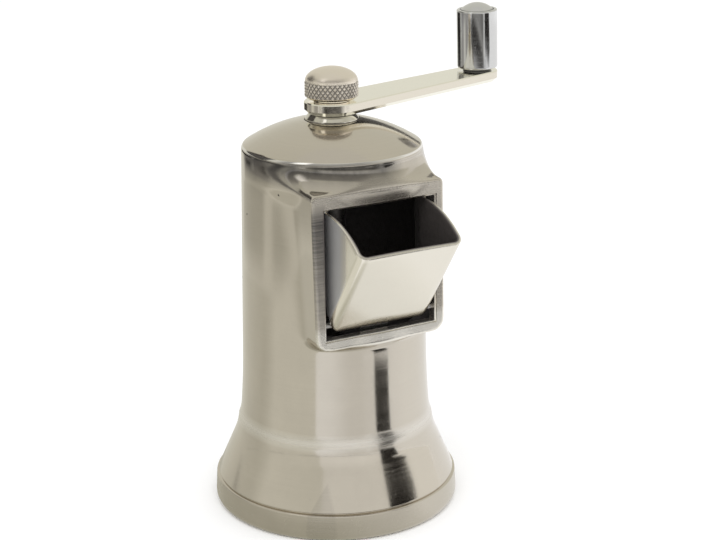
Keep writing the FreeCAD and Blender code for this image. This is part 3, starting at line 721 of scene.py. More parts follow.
@dataclass(frozen=True)
class CastMetal(PolishedMetal):
    """The body's polished casting, with painted dark reflections under the rim and on the frame's
    left bar, painted highlights along the rim and the waist, a paler frame bottom and pinholes.

    A pair is where a mark fades in or out: in metres across (X), front to back (Y) or up (Z),
    or by how level the face lies, from 0 upright to 1 level.
    """

    # The painted dark reflection under the rim: its tone, and where it fades in and out
    rim_reflection_tone: Colour = (0.16, 0.152, 0.145)
    rim_reflection_low: Pair = (0.0885, 0.0933)
    rim_reflection_high: Pair = (0.0948, 0.0954)
    rim_reflection_back: Pair = (0.0020, 0.0060)
    rim_reflection_right: Pair = (0.0020, 0.0080)
    rim_reflection_facing: Pair = (0.3, 0.97)
    # Painted highlight: the thin pale line along the rim
    rim_highlight_low: Pair = (0.0951, 0.0952)
    rim_highlight_high: Pair = (0.0956, 0.0957)
    rim_highlight_tone: Colour = (0.93, 0.92, 0.90)
    rim_highlight_share: float = 0.7
    # Where the painted highlight round the waist lies, and its tone, share and dullness
    waist_height: float = 0.0236
    waist_spread: float = 0.0024
    waist_highlight_tone: Colour = (0.86, 0.84, 0.80)
    waist_highlight_share: float = 0.5
    waist_highlight_dullness: float = 0.35
    frame_front: Pair = (-0.0238, -0.0235)
    frame_low: Pair = (0.0494, 0.0496)
    frame_dullness: float = 0.12
    # The frame's front face is paler at its bottom, fading out between these heights
    sill: Pair = (0.0545, 0.0565)
    sill_tone: Colour = (0.92, 0.89, 0.82)
    sill_share: float = 0.8
    foot_band: Pair = (0.0066, 0.0070)
    foot_dullness: float = 0.10
    # Painted dark reflection on the frame's left bar, darker towards its top
    bar_reflection_tone: Colour = (0.13, 0.125, 0.125)
    bar_side: Pair = (-0.0158, -0.0150)
    bar_low: Pair = (0.050, 0.0795)
    bar_high: Pair = (0.0835, 0.0875)
    bar_dullness: float = 0.16
    pinhole_cell: float = 0.0075
    pinhole_spot: Pair = (0.027, 0.045)
    pinhole_tone: Colour = (0.10, 0.09, 0.08)
    pinhole_dullness: float = 0.4
    pinhole_depth: float = 0.00008

    def wear(self, coat: Coat) -> None:
        """Adds the casting's own marks to the common wear: painted dark reflections and highlights, a
        paler frame bottom, duller bands and pinholes.

        Args:
            coat: the finish so far.
        """
        super().wear(coat)
        sheet = coat.sheet
        x, y, z = sheet.axes(sheet.place)
        # Painted dark reflection: a patchy dark band under the rim, strongest in front and to the
        # left
        coat.mark(self.painted_rim_reflection(sheet, x, y, z), self.rim_reflection_tone)
        # Painted highlight: a thin pale line along the rim's rounding
        rim = sheet.product(sheet.band(z, *self.rim_highlight_low, 0.0, self.rim_highlight_share),
                            sheet.falling(z, *self.rim_highlight_high))
        coat.mark(rim, self.rim_highlight_tone)
        # Painted highlight: a pale, duller band round the waist
        waist = sheet.maths("ABSOLUTE", sheet.maths("SUBTRACT", z, self.waist_height))
        waist = sheet.band(waist, 0.0, self.waist_spread, self.waist_highlight_share, 0.0)
        coat.mark(waist, self.waist_highlight_tone, self.waist_highlight_dullness)
        front = sheet.falling(y, *self.frame_front)
        satin = sheet.product(front, sheet.rising(z, *self.frame_low))
        coat.mark(satin, dullness=self.frame_dullness)
        # The frame's front face is paler at its bottom, fading out over the sill's band
        tinted_area = sheet.product(satin, sheet.band(z, *self.sill, self.sill_share, 0.0))
        coat.mark(tinted_area, self.sill_tone)
        coat.mark(sheet.falling(z, *self.foot_band), dullness=self.foot_dullness)
        # Painted dark reflection on the frame's left bar, darker towards its top
        coat.mark(self.bar(sheet, front, x, z), self.bar_reflection_tone, self.bar_dullness)
        hole = self.pinholes(sheet)
        coat.mark(hole, self.pinhole_tone, self.pinhole_dullness)
        coat.emboss(sheet.maths("SUBTRACT", 1.0, hole), self.pinhole_depth)

    def painted_rim_reflection(self, sheet: NodeSheet, x: Socket, y: Socket, z: Socket) -> Socket:
        """Gives the share of the painted dark reflection, which lies under the rim, in front and to
        the left.

        Args:
            sheet: the material's nodes.
            x: the place across.
            y: the place from front to back.
            z: the height.

        Returns:
            The share, patchy and less on level faces.
        """
        high = sheet.product(sheet.band(z, *self.rim_reflection_low, 0.12, 1.0),
                             sheet.falling(z, *self.rim_reflection_high))
        cove = sheet.product(sheet.falling(y, *self.rim_reflection_back),
                             sheet.band(x, *self.rim_reflection_right, 1.0, 0.25))
        level = sheet.maths("ABSOLUTE", sheet.upward())
        steep = sheet.band(level, *self.rim_reflection_facing, 1.0, 0.35)
        patches = sheet.noise(Mottle.RIM_REFLECTION.value, 3.0, 0.6)
        return sheet.product(high, cove, steep, sheet.band(patches, 0.3, 0.62, 0.6, 1.0))

    def bar(self, sheet: NodeSheet, front: Socket, x: Socket, z: Socket) -> Socket:
        """Gives the share of the painted dark reflection on the frame's left bar, darker towards its
        top.

        Args:
            sheet: the material's nodes.
            front: 1 on the frame's front face.
            x: the place across.
            z: the height.

        Returns:
            The share, streaked along thin level strokes.
        """
        left = sheet.falling(x, *self.bar_side)
        tall = sheet.product(sheet.band(z, *self.bar_low, 0.15, 1.0),
                             sheet.falling(z, *self.bar_high))
        strokes = sheet.noise(Mottle.STROKES.value, 3.0, 0.7)
        return sheet.product(front, left, tall, sheet.band(strokes, 0.3, 0.65, 0.55, 1.0))

    def pinholes(self, sheet: NodeSheet) -> Socket:
        """Gives 1 in small round spots, each about the middle of a random cell, and else 0.

        Args:
            sheet: the material's nodes.

        Returns:
            The spots.
        """
        cells = sheet.add("ShaderNodeTexVoronoi")
        sheet.feed(cells.inputs["Vector"], sheet.place)
        sheet.feed(cells.inputs["Scale"], 1.0 / self.pinhole_cell)
        return sheet.falling(cells.outputs["Distance"], *self.pinhole_spot)


@dataclass(frozen=True)
class PlainMetal:
    """A machined metal: base tone, tool marks, dull patches and a little soil."""

    name: str
    tone: Colour
    roughness: float
    dark_share: float = 0.82
    mark_depth: float = 0.000004
    gloss_low: float = 0.7
    gloss_high: float = 1.25
    darkening: Colour = (0.12, 0.10, 0.085)
    soil_share: float = 0.25
    darkening_dullness: float = 0.5

    def build(self) -> bpy.types.Material:
        """Makes the material: the tool marks set its tone, gloss and relief."""
        sheet = NodeSheet(self.name)
        marks = sheet.noise(Mottle.TOOL_MARKS.value, 4.0, 0.6)
        patches = sheet.noise(Mottle.SOIL.value, 4.0, 0.6)
        dark = tuple(channel * self.dark_share for channel in self.tone)
        gloss = sheet.band(marks, 0.3, 0.8, self.roughness * self.gloss_low,
                           self.roughness * self.gloss_high)
        coat = Coat(sheet, sheet.mixed(marks, dark, self.tone), gloss,
                    sheet.bump(marks, self.mark_depth))
        soiled = sheet.band(patches, 0.55, 0.85, 0.0, self.soil_share)
        coat.mark(soiled, self.darkening, self.darkening_dullness)
        return sheet.finish(coat.tone, coat.gloss, coat.relief)


# The mill's own sub-assemblies


def round_meet(a: np.ndarray, b: np.ndarray, radius: float) -> np.ndarray:
    """Distance to what lies in both of two shapes, their meeting edge rounded by radius.

    Near the edge it is the length of (radius + a, radius + b), less radius, and elsewhere the
    larger of the two distances.
    """
    u, v = np.maximum(radius + a, 0), np.maximum(radius + b, 0)
    return np.minimum(-radius, np.maximum(a, b)) + np.hypot(u, v)


def round_join(a: np.ndarray, b: np.ndarray, radius: float) -> np.ndarray:
    """Distance to what lies in either of two shapes, the corner between them coved by radius."""
    u, v = np.maximum(radius - a, 0), np.maximum(radius - b, 0)
    return np.maximum(radius, np.minimum(a, b)) - np.hypot(u, v)


@dataclass
class Casting:
    """The cast body: foot band, skirt, wall, dome and the square hopper housing.

    A pair is a radius and a height, and a half width's pair is the one at the housing's bottom
    and the one at its top.
    """

    finish: PolishedMetal
    foot_radius: float = 32.2
    foot_height: float = 7.0
    foot_edge: float = 2.0
    foot_draft: float = 0.4
    crease_depth: float = 0.5
    crease_width: float = 0.6
    skirt_bottom: float = 31.2
    knee: Pair = (26.9, 17.5)
    skirt_top: Pair = (25.55, 22.7)
    waist: Pair = (24.75, 26.2)
    flare: Pair = (24.04, 40.0)
    wall_top_radius: float = 23.0
    wall_top_height: float = 94.0
    dome_height: float = 102.4
    dome_sphere: float = 41.6
    dome_rings: int = 7
    dome_start: float = 13.4
    shoulder_radius: float = 0.7
    seat_radius: float = 6.9
    seat_lip: float = 0.2
    seat_height: float = 101.75
    bush_radius: float = 5.0
    boss_radius: float = 7.6
    boss_bottom: float = 90.95
    wall: float = 2.6
    skirt_wall: float = 2.834
    dome_wall: float = 3.2
    front: float = 24.7
    front_draft: float = 0.5
    housing_bottom: float = 49.7
    housing_top: float = 89.4
    top_slope: float = 6.0
    left_half_width: Pair = (18.0, 19.0)
    right_half_width: Pair = (18.4, 18.0)
    cove: float = 2.4
    top_cove: float = 5.0
    top_corner: float = 1.4
    bottom_corner: float = 3.5
    edge: float = 0.7
    opening_half_width: float = 15.55
    opening_bottom: float = 52.6
    opening_top: float = 85.3
    opening_edge: float = 0.4
    jamb_share: float = 0.2
    pocket_half_width: float = 15.9
    pocket_bottom: float = 51.6
    pocket_top: float = 87.5
    frame_back: float = 22.1
    throat: Pair = (10.6, 33.0)
    seat_of_burr: Pair = (15.0, 31.0)
    grinder_base: float = 19.0
    grinder_wall: float = 3.4
    funnel_rim: float = 44.0
    pocket_under: float = 35.0
    foot_wall: float = 3.8
    lug_distance: float = 19.3
    lug_radius: float = 4.0
    lug_bore: float = 1.5
    pad_half_width: float = 5.0
    pad_face: float = 20.7
    pad_low: float = 40.4
    pad_high: float = 49.5
    rows_above_opening: int = 3
    corner_column: float = 37.0
    side_column: float = 62.0
    ray_start: float = 42.0
    ray_radius: float = 20.0
    ray_reach: float = 26.0
    sphere_centre: float = field(init=False)
    window_angle: float = field(init=False)
    columns: np.ndarray = field(init=False)

    def __post_init__(self) -> None:
        """Works out the dome's centre and the angles of the grid's columns."""
        self.sphere_centre = self.dome_height - self.dome_sphere
        edge = self.opening_half_width + self.opening_edge
        window = math.degrees(math.atan2(edge, self.front))
        # Closest together at the housing's corner and in the cove beside the housing
        runs = [(window, 15), (35.2, 4), (38.8, 15), (48.0, 7), (self.side_column, 15), (180.0, 46)]
        half = [np.zeros(1)]
        for angle, count in runs:
            half.append(np.linspace(half[-1][-1], angle, count)[1:])
        half = np.concatenate(half)[:-1]
        self.window_angle = window
        self.columns = np.concatenate([[180.0], -half[:0:-1], half])

    def wall_radius(self, z: np.ndarray) -> np.ndarray:
        """The straight wall's radius, which shrinks evenly from the flare up to the dome."""
        share = (z - self.flare[1]) / (self.wall_top_height - self.flare[1])
        return self.flare[0] + (self.wall_top_radius - self.flare[0]) * share

    def up_housing(self, z: np.ndarray) -> np.ndarray:
        """A height as a share of the way from the housing's bottom to its top."""
        return (z - self.housing_bottom) / (self.housing_top - self.housing_bottom)

    def front_at(self, z: np.ndarray) -> np.ndarray:
        """How far the housing's leaning front plane stands from the axis."""
        return self.front - self.front_draft * self.up_housing(z)

    def side_at(self, z: np.ndarray, right: bool) -> np.ndarray:
        """How far a side of the housing stands from the middle."""
        low, high = self.right_half_width if right else self.left_half_width
        return low + (high - low) * self.up_housing(z)

    def distance(self, x: np.ndarray, y: np.ndarray, z: np.ndarray) -> np.ndarray:
        """Distance to the outer skin of round body and housing, negative inside.

        The body is where the wall and the dome's sphere meet, and the housing is where two
        sides, a sloping top, a bottom and a leaning front meet, with each edge rounded. The
        two are joined with a cove, which widens smoothly towards the housing's top.

        Args:
            x: places across.
            y: places from front to back.
            z: heights.

        Returns:
            The distance at each place.
        """
        radius = np.hypot(x, y)
        wall = radius - self.wall_radius(z)
        dome = np.hypot(radius, z - self.sphere_centre) - self.dome_sphere
        body = round_meet(wall, dome, self.shoulder_radius)
        side = np.maximum(-x - self.side_at(z, False), x - self.side_at(z, True))
        slope = math.radians(self.top_slope)
        front_top = self.front - self.front_draft
        top = (z - self.housing_top - (front_top + y) * math.tan(slope)) * math.cos(slope)
        housing = round_meet(side, top, self.top_corner)
        housing = round_meet(housing, self.housing_bottom - z, self.bottom_corner)
        housing = round_meet(housing, -y - self.front_at(z), self.edge)
        housing = np.maximum(housing, y)
        rise = np.clip((z - self.housing_top + self.top_cove) / self.top_cove, 0, 1)
        cove = self.cove + (self.top_cove - self.cove) * rise ** 2 * (3 - 2 * rise)
        return round_join(body, housing, cove)

    def rays(self) -> np.ndarray:
        """Starts and tilts of the rays that find the skin, as rows of radius, height, degrees.

        They run level at first, tip down below the housing, run level across the opening, and
        then tip up over the housing's top and the shoulder to the dome. A station gives the
        first ray of a run, and how many rays there are up to the next station.
        """
        start = self.ray_radius
        stations = [(start, self.ray_start, 0.0, 9), (start, 50.3, -35.0, 30),
                    (start, self.opening_bottom - self.opening_edge, 0.0, 36),
                    (start, self.opening_top + self.opening_edge, 0.0, 40),
                    (start, 87.6, 38.0, 40), (start, 88.0, 76.0, 10), (14.0, 88.0, 90.0, 1)]
        rows = []
        for (r0, z0, a0, count), (r1, z1, a1, _) in zip(stations[:-1], stations[1:]):
            share = np.arange(count)[:, None] / count
            rows.append(np.array([[r0, z0, a0]]) * (1 - share) + np.array([[r1, z1, a1]]) * share)
        rows.append(np.array([stations[-1][:3]]))
        return np.vstack(rows)

    def column_angles(self, z: float, inner: bool = False) -> np.ndarray:
        """The columns' true angles at a height, so that they follow the opening and corners.

        Args:
            z: the height.
            inner: whether they are those of the pocket inside, not of the outer skin.

        Returns:
            The angles in radians.
        """
        front = self.frame_back if inner else self.front_at(z)
        edge = self.opening_half_width + (0 if inner else self.opening_edge)
        window = math.degrees(math.atan2(edge, front))
        corners = []
        for right in (False, True):
            side = self.pocket_half_width if inner else self.side_at(z, right)
            corners.append(math.degrees(math.atan2(side, front)))
        plain_half = [self.window_angle, self.corner_column, self.side_column, 180]
        plain = [-angle for angle in plain_half[::-1]] + [0] + plain_half
        true = [-180, -self.side_column, -corners[0], -window, 0, window, corners[1],
                self.side_column, 180]
        turned_to = np.interp(self.columns, plain, true)
        turned_to[0] = 180.0
        return np.radians(turned_to)

    def outer_skin(self) -> np.ndarray:
        """The skin where the rays meet it: each ray is halved until the distance is nothing."""
        rays = self.rays()
        halvings, run, steepest = 40, 6, 60
        rise = run * np.tan(np.radians(np.clip(rays[:, 2], -steepest, steepest)))
        met_at = np.clip(rays[:, 1] + rise, self.housing_bottom, self.housing_top)
        angles = np.array([self.column_angles(z) for z in met_at])
        tilt = np.radians(rays[:, 2])[:, None]
        low, high = np.zeros_like(angles), np.full_like(angles, self.ray_reach)
        for _ in range(halvings):
            middle = (low + high) / 2
            radius = rays[:, :1] + middle * np.cos(tilt)
            z = rays[:, 1:2] + middle * np.sin(tilt)
            x, y = radius * np.sin(angles), -radius * np.cos(angles)
            within = self.distance(x, y, z) < 0
            low, high = np.where(within, middle, low), np.where(within, high, middle)
        return np.stack([x, y, z], -1)

    def round_rows(self, outline: np.ndarray) -> np.ndarray:
        """The rows that an outline sweeps at the columns' angles.

        Args:
            outline: rows of radius and height.

        Returns:
            The places by row and column.
        """
        angle = np.radians(self.columns)
        return np.stack([outline[:, :1] * np.sin(angle), -outline[:, :1] * np.cos(angle),
                         np.repeat(outline[:, 1:], len(angle), 1)], -1)

    def lower_outline(self) -> np.ndarray:
        """The outline from the foot's inner edge out and up to where the rays begin."""
        opening = self.foot_radius - self.foot_wall
        band_top = self.foot_radius - self.foot_draft
        skirt = (self.skirt_bottom, self.foot_height + self.crease_width)
        crease = (self.skirt_bottom - self.crease_depth, self.foot_height + self.crease_width / 2)
        foot = rounded_outline([
            (opening, 0, 0), (self.foot_radius, 0, self.foot_edge),
            (band_top, self.foot_height, 0.22), (*crease, 0.12), (*skirt, 0.15),
            (*self.knee, 0)], 1.2, False)
        direction = np.subtract(self.knee, skirt)
        knee = arc_places(self.knee, tuple(direction), self.skirt_top, 8)
        down = (self.flare[0] - self.wall_top_radius, self.flare[1] - self.wall_top_height)
        flare = arc_places(self.flare, down, self.waist, 18)[::-1]
        at_waist = flare[0] - flare[1]
        curl = arc_places(self.waist, tuple(at_waist), self.skirt_top, 8)[::-1]
        wall = np.array([[self.wall_radius(self.ray_start - 1), self.ray_start - 1]])
        return np.vstack([foot, knee[:-1], curl, self.waist, flare[1:], self.flare, wall])

    def on_sphere(self, radii: np.ndarray, sphere: float) -> np.ndarray:
        """Rows of radius and height on a sphere of that radius about the dome's centre."""
        return np.stack([radii, self.sphere_centre + np.sqrt(sphere ** 2 - radii ** 2)], -1)

    def seat_outline(self, lip_height: float) -> np.ndarray:
        """The outline from the dome's lip down the bush's seat and bore to the boss's end.

        Args:
            lip_height: the height at which the dome ends.

        Returns:
            The places in order, as rows of radius and height.
        """
        return rounded_outline([
            (self.seat_radius + self.seat_lip, lip_height, 0),
            (self.seat_radius, lip_height - self.seat_lip, 0),
            (self.seat_radius, self.seat_height, 0), (self.bush_radius, self.seat_height, 0),
            (self.bush_radius, self.boss_bottom, 0), (self.boss_radius, self.boss_bottom, 0)],
            3.0, False)

    def under_outline(self) -> np.ndarray:
        """The outline from the chamber's funnel down the burrs' seat and back out to the foot."""
        hollow = self.waist[0] - self.wall
        seat_radius, seat_top = self.seat_of_burr
        grinder_radius = seat_radius + self.grinder_wall
        return np.array([
            (hollow, self.funnel_rim), self.throat, (self.throat[0], seat_top),
            (seat_radius, seat_top), (seat_radius, self.grinder_base),
            (grinder_radius, self.grinder_base), (grinder_radius, self.pocket_under),
            (hollow, self.pocket_under), (hollow, self.waist[1]),
            (self.knee[0] - self.skirt_wall, self.knee[1]),
            (self.skirt_bottom - self.skirt_wall, self.foot_height + self.crease_width),
            (self.foot_radius - self.foot_wall, self.foot_height)])

    def build(self) -> bpy.types.Object:
        """Makes the casting as one closed grid, with the opening's cells left out and jambed."""
        lower = self.lower_outline()
        skin = self.outer_skin()
        dome_radii = np.linspace(self.dome_start, self.seat_radius + 0.25, self.dome_rings)
        dome = self.on_sphere(dome_radii, self.dome_sphere)
        ceiling_radii = np.linspace(self.boss_radius, self.wall_top_radius - self.wall, 8)
        ceiling = self.on_sphere(ceiling_radii, self.dome_sphere - self.dome_wall)
        window_rows = self.window_rows(skin)
        above = [self.round_rows(lower), skin, self.round_rows(dome),
                 self.round_rows(self.seat_outline(dome[-1, 1])), self.round_rows(ceiling)]
        inner = self.inner_wall(ceiling[-1], skin[window_rows][::-1])
        grid = np.vstack([*above, inner, self.round_rows(self.under_outline())])
        # The first two rows of the bush's seat are still outside
        outside_rows = len(lower) + len(skin) + len(dome) + 2
        inside = np.zeros(grid.shape[:2])
        inside[outside_rows:] = 1
        inner_high = sum(len(rows) for rows in above) + self.rows_above_opening
        shell = self.cut_window(grid, inside, len(lower) + window_rows[0], inner_high,
                                len(window_rows))
        shells = [shell.outward()] + self.lugs() + [self.leaf_pad()]
        return make_piece("cast_body", joined(shells), "casting", "body_casting",
                          self.finish.build())

    def window_rows(self, skin: np.ndarray) -> np.ndarray:
        """The rows of the skin that run across the opening, its two edges included.

        Args:
            skin: the outer skin's places.

        Returns:
            The numbers of those rows.
        """
        middle = np.argmin(abs(self.columns))
        heights = skin[:, middle, 2]
        low, high = self.opening_bottom - self.opening_edge, self.opening_top + self.opening_edge
        return np.flatnonzero((heights > low - 1e-3) & (heights < high + 1e-3))

    def inner_wall(self, top: np.ndarray, window: np.ndarray) -> np.ndarray:
        """The chamber's wall from its ceiling down, with the pocket behind the opening.

        Args:
            top: the radius and height where the ceiling ends.
            window: the outer skin's rows across the opening, from the top down.

        Returns:
            The places by row and column, with as many rows across the opening as outside.
        """
        middle = np.argmin(abs(self.columns))
        outer_low = self.opening_bottom - self.opening_edge
        outer_span = self.opening_top - self.opening_bottom + 2 * self.opening_edge
        share = (window[:, middle, 2] - outer_low) / outer_span
        opening = self.opening_bottom + share * (self.opening_top - self.opening_bottom)
        step = 0.02
        heights = np.concatenate([[top[1] - 1, self.pocket_top + step, self.pocket_top - step],
                                  opening, [self.pocket_bottom + step, self.pocket_bottom - step]])
        foot = np.array([self.waist[0] - self.wall, self.funnel_rim])
        share = (heights - foot[1]) / (top[1] - foot[1])
        radius = (foot[0] + (top[0] - foot[0]) * share)[:, None]
        angle = self.column_angles(60.0, True)[None, :]
        facing = np.cos(angle) > 0.05
        sine, cosine = np.maximum(abs(np.sin(angle)), 1e-6), np.where(facing, np.cos(angle), 1)
        pocket = np.minimum(self.frame_back / cosine, self.pocket_half_width / sine)
        pocket = np.where(facing, pocket, 0)
        deep = ((heights < self.pocket_top) & (heights > self.pocket_bottom))[:, None]
        reach = np.where(deep, np.maximum(radius, pocket), radius)
        return np.stack([reach * np.sin(angle), -reach * np.cos(angle),
                         np.repeat(heights[:, None], angle.size, 1)], -1)

    def window_ring(self, count: int, first: int, last: int) -> tuple[np.ndarray, np.ndarray]:
        """Rows and columns of the places round the opening, from its lower corner onwards.

        Args:
            count: how many rows the opening spans.
            first: its first column.
            last: its last column.

        Returns:
            The rows, counted from the opening's own first, and the columns.
        """
        up, along = np.arange(count), np.arange(first, last + 1)
        rows = np.concatenate([np.zeros(len(along) - 1, int), up[:-1],
                               np.full(len(along) - 1, count - 1), up[:0:-1]])
        columns = np.concatenate([along[:-1], np.full(count - 1, last), along[:0:-1],
                                  np.full(count - 1, first)])
        return rows, columns

    def cut_window(self, grid: np.ndarray, inside: np.ndarray, outer_low: int, inner_high: int,
                   count: int) -> Shell:
        """Leaves out the opening's cells of both skins and closes the gap with a jamb.

        The jamb's first rows turn from the front face into the opening round a small edge, by
        (1 - cos a, sin a) of its radius, and its last row is the inner skin's own edge. Its
        flat part has a little of the inside's dull finish.

        Args:
            grid: places by row and column, whose rows and columns both wrap.
            inside: by row and column, 1 in the hollows.
            outer_low: the outer skin's row along the opening's bottom.
            inner_high: the inner skin's row along the opening's top.
            count: how many rows the opening spans in each skin.

        Returns:
            The closed shell, which may still face inwards.
        """
        rows, columns = grid.shape[:2]
        across = np.flatnonzero(abs(self.columns) < self.window_angle + 1e-6)
        first, last = across[0], across[-1]
        faces = grid_faces(rows, columns, True, True).reshape(rows, columns, 4)
        keep = np.ones((rows, columns), bool)
        keep[outer_low:outer_low + count - 1, first:last] = False
        keep[inner_high:inner_high + count - 1, first:last] = False
        ring_rows, ring_columns = self.window_ring(count, first, last)
        outer = (outer_low + ring_rows) * columns + ring_columns
        inner = (inner_high + count - 1 - ring_rows) * columns + ring_columns
        places = grid.reshape(-1, 3)
        x_inward = np.where(ring_columns == first, 1.0, np.where(ring_columns == last, -1.0, 0.0))
        z_inward = np.where(ring_rows == 0, 1.0, np.where(ring_rows == count - 1, -1.0, 0.0))
        edges = []
        for turn in np.radians(np.linspace(0, 90, 5)[1:]):
            shift = np.stack([x_inward * (1 - np.cos(turn)), np.full(len(outer), np.sin(turn)),
                              z_inward * (1 - np.cos(turn))], -1)
            edges.append(places[outer] + shift * self.opening_edge)
        flats = [edges[-1] * (1 - share) + places[inner] * share for share in (0.06, 0.94)]
        made = np.stack(edges + flats)
        numbers = len(places) + np.arange(made[..., 0].size).reshape(made.shape[:2])
        rings = np.vstack([outer, numbers, inner])
        strips = [np.stack([a, np.roll(a, -1), np.roll(b, -1), b], -1)
                  for a, b in zip(rings[:-1], rings[1:])]
        shares = np.repeat([0.0] * len(edges) + [self.jamb_share] * len(flats), len(outer))
        return Shell(np.vstack([places, *made]), np.vstack([faces[keep], *strips]),
                     np.append(inside, shares))

    def lugs(self) -> list[Shell]:
        """The two lugs that take the bridge's screws."""
        outline = rounded_outline([
            (self.lug_bore, self.grinder_base, 0), (self.lug_radius, self.grinder_base, 0.3),
            (self.lug_radius, self.pocket_under + 1, 0), (self.lug_bore, self.pocket_under + 1, 0)],
            3.0, True)
        shell = turned(outline, 40, 0)
        return [shell.moved(np.eye(3), np.array([side * self.lug_distance, 0, 0]))
                for side in (-1, 1)]

    def leaf_pad(self) -> Shell:
        """The flat pad inside the front wall that carries the leaf spring."""
        half = self.pad_half_width
        back = math.sqrt((self.waist[0] - self.wall / 2) ** 2 - half ** 2)
        outline = [(-half, -back), (half, -back), (half, -self.pad_face), (-half, -self.pad_face)]
        corners = np.array([(x, y, z) for z in (self.pad_low, self.pad_high) for x, y in outline])
        faces = np.vstack([grid_faces(2, 4, False, True), [(3, 2, 1, 0)], [(4, 5, 6, 7)]])
        return Shell(corners, faces, np.ones(8)).outward()


@dataclass
class TopBush:
    """The bright flanged bush in the dome that the crank turns on."""

    finish: PolishedMetal
    sleeve_radius: float = 5.0
    bore_radius: float = 3.05
    bottom: float = 90.95
    seat: float = 101.75
    flange_radius: float = 6.8
    top_radius: float = 5.8
    top: float = 103.35
    band: float = 0.35

    def build(self) -> bpy.types.Object:
        """Makes the bush as a turned ring with a coned flange over a thin straight band."""
        outline = rounded_outline([
            (self.bore_radius, self.bottom, 0), (self.sleeve_radius, self.bottom, 0.2),
            (self.sleeve_radius, self.seat, 0), (self.flange_radius, self.seat, 0.12),
            (self.flange_radius, self.seat + self.band, 0.12), (self.top_radius, self.top, 0.12),
            (self.bore_radius, self.top, 0.2)], 1.5, True)
        return make_piece("flanged_bush", turned(outline, 128), "casting", "top_bush",
                          self.finish.build())


@dataclass
class CapNut:
    """The knurled nut with a domed top, a short neck and a blind bore."""

    finish: PolishedMetal
    bottom: float
    apex: float
    radius: float = 6.8
    neck_radius: float = 4.6
    neck_height: float = 0.7
    knurl_height: float = 4.4
    dome_height: float = 3.55
    top_chamfer: float = 0.15
    low_chamfer: float = 0.6
    bore_radius: float = 2.05
    bore_top: float = 112.15
    diamonds: int = 34
    diamond_height: float = 1.5
    knurl_depth: float = 0.34
    land_share: float = 1.15
    steps_per_diamond: int = 8
    rows_of_knurl: int = 27
    rows_of_dome: int = 20

    def knurl(self, shell: Shell, low: float, top: float) -> None:
        """Cuts the band between two heights with two sets of crossing grooves.

        At an angle and a height, t is 1 midway between two grooves of a set and 0 in a groove.
        The skin lies below the full radius by the depth times 1 less the smaller t of the two,
        times the land's share, which flattens the diamonds' tips.

        Args:
            shell: the smooth nut, which is cut in the grooves and given painted shade there, dark and
                dull.
            low: the band's lower height.
            top: its upper height.
        """
        x, y, z = shell.places.T
        radius = np.hypot(x, y)
        turn = self.diamonds * np.arctan2(y, x) / TWO_PI
        rise = z / self.diamond_height
        across = [abs((t % 1) - 0.5) * 2 for t in (turn + rise, turn - rise)]
        ridge = np.minimum(*across)
        in_band = (radius > self.radius - 0.01) & (z > low) & (z < top + 0.01)
        depth = np.where(in_band, 1 - np.minimum(ridge * self.land_share, 1), 0)
        scale = (radius - self.knurl_depth * depth) / np.maximum(radius, 1e-9)
        shell.places[:, 0] *= scale
        shell.places[:, 1] *= scale
        # Painted shade in the grooves: they take the nut's near-black, dull inside finish
        shell.inside = np.maximum(depth ** 1.5, shell.inside)

    def build(self) -> bpy.types.Object:
        """Makes the nut as a turned shape, whose dome is a quarter of an ellipse."""
        knurl_low = self.bottom + self.neck_height
        rim = self.radius - self.top_chamfer
        lean = np.radians(np.linspace(90, 0, self.rows_of_dome))
        dome = np.stack([rim * np.sin(lean), self.apex - self.dome_height
                         + self.dome_height * np.cos(lean)], -1)
        low = rounded_outline([
            (0, self.bore_top, 0), (self.bore_radius, self.bore_top, 0),
            (self.bore_radius, self.bottom, 0), (self.neck_radius, self.bottom, 0.1),
            (self.neck_radius, knurl_low, 0.15), (self.radius - self.low_chamfer, knurl_low, 0.1),
            (self.radius, knurl_low + self.low_chamfer, 0)], 1.0, False)
        heights = np.linspace(knurl_low + self.low_chamfer, dome[0, 1] - self.top_chamfer,
                              self.rows_of_knurl)[1:]
        band = np.stack([np.full(len(heights), self.radius), heights], -1)
        shell = turned(np.vstack([low, band, dome]), self.diamonds * self.steps_per_diamond)
        self.knurl(shell, knurl_low, knurl_low + self.knurl_height)
        return make_piece("knurled_cap_nut", shell, "nut", "cap_nut",
                          self.finish.build(), 20.0)


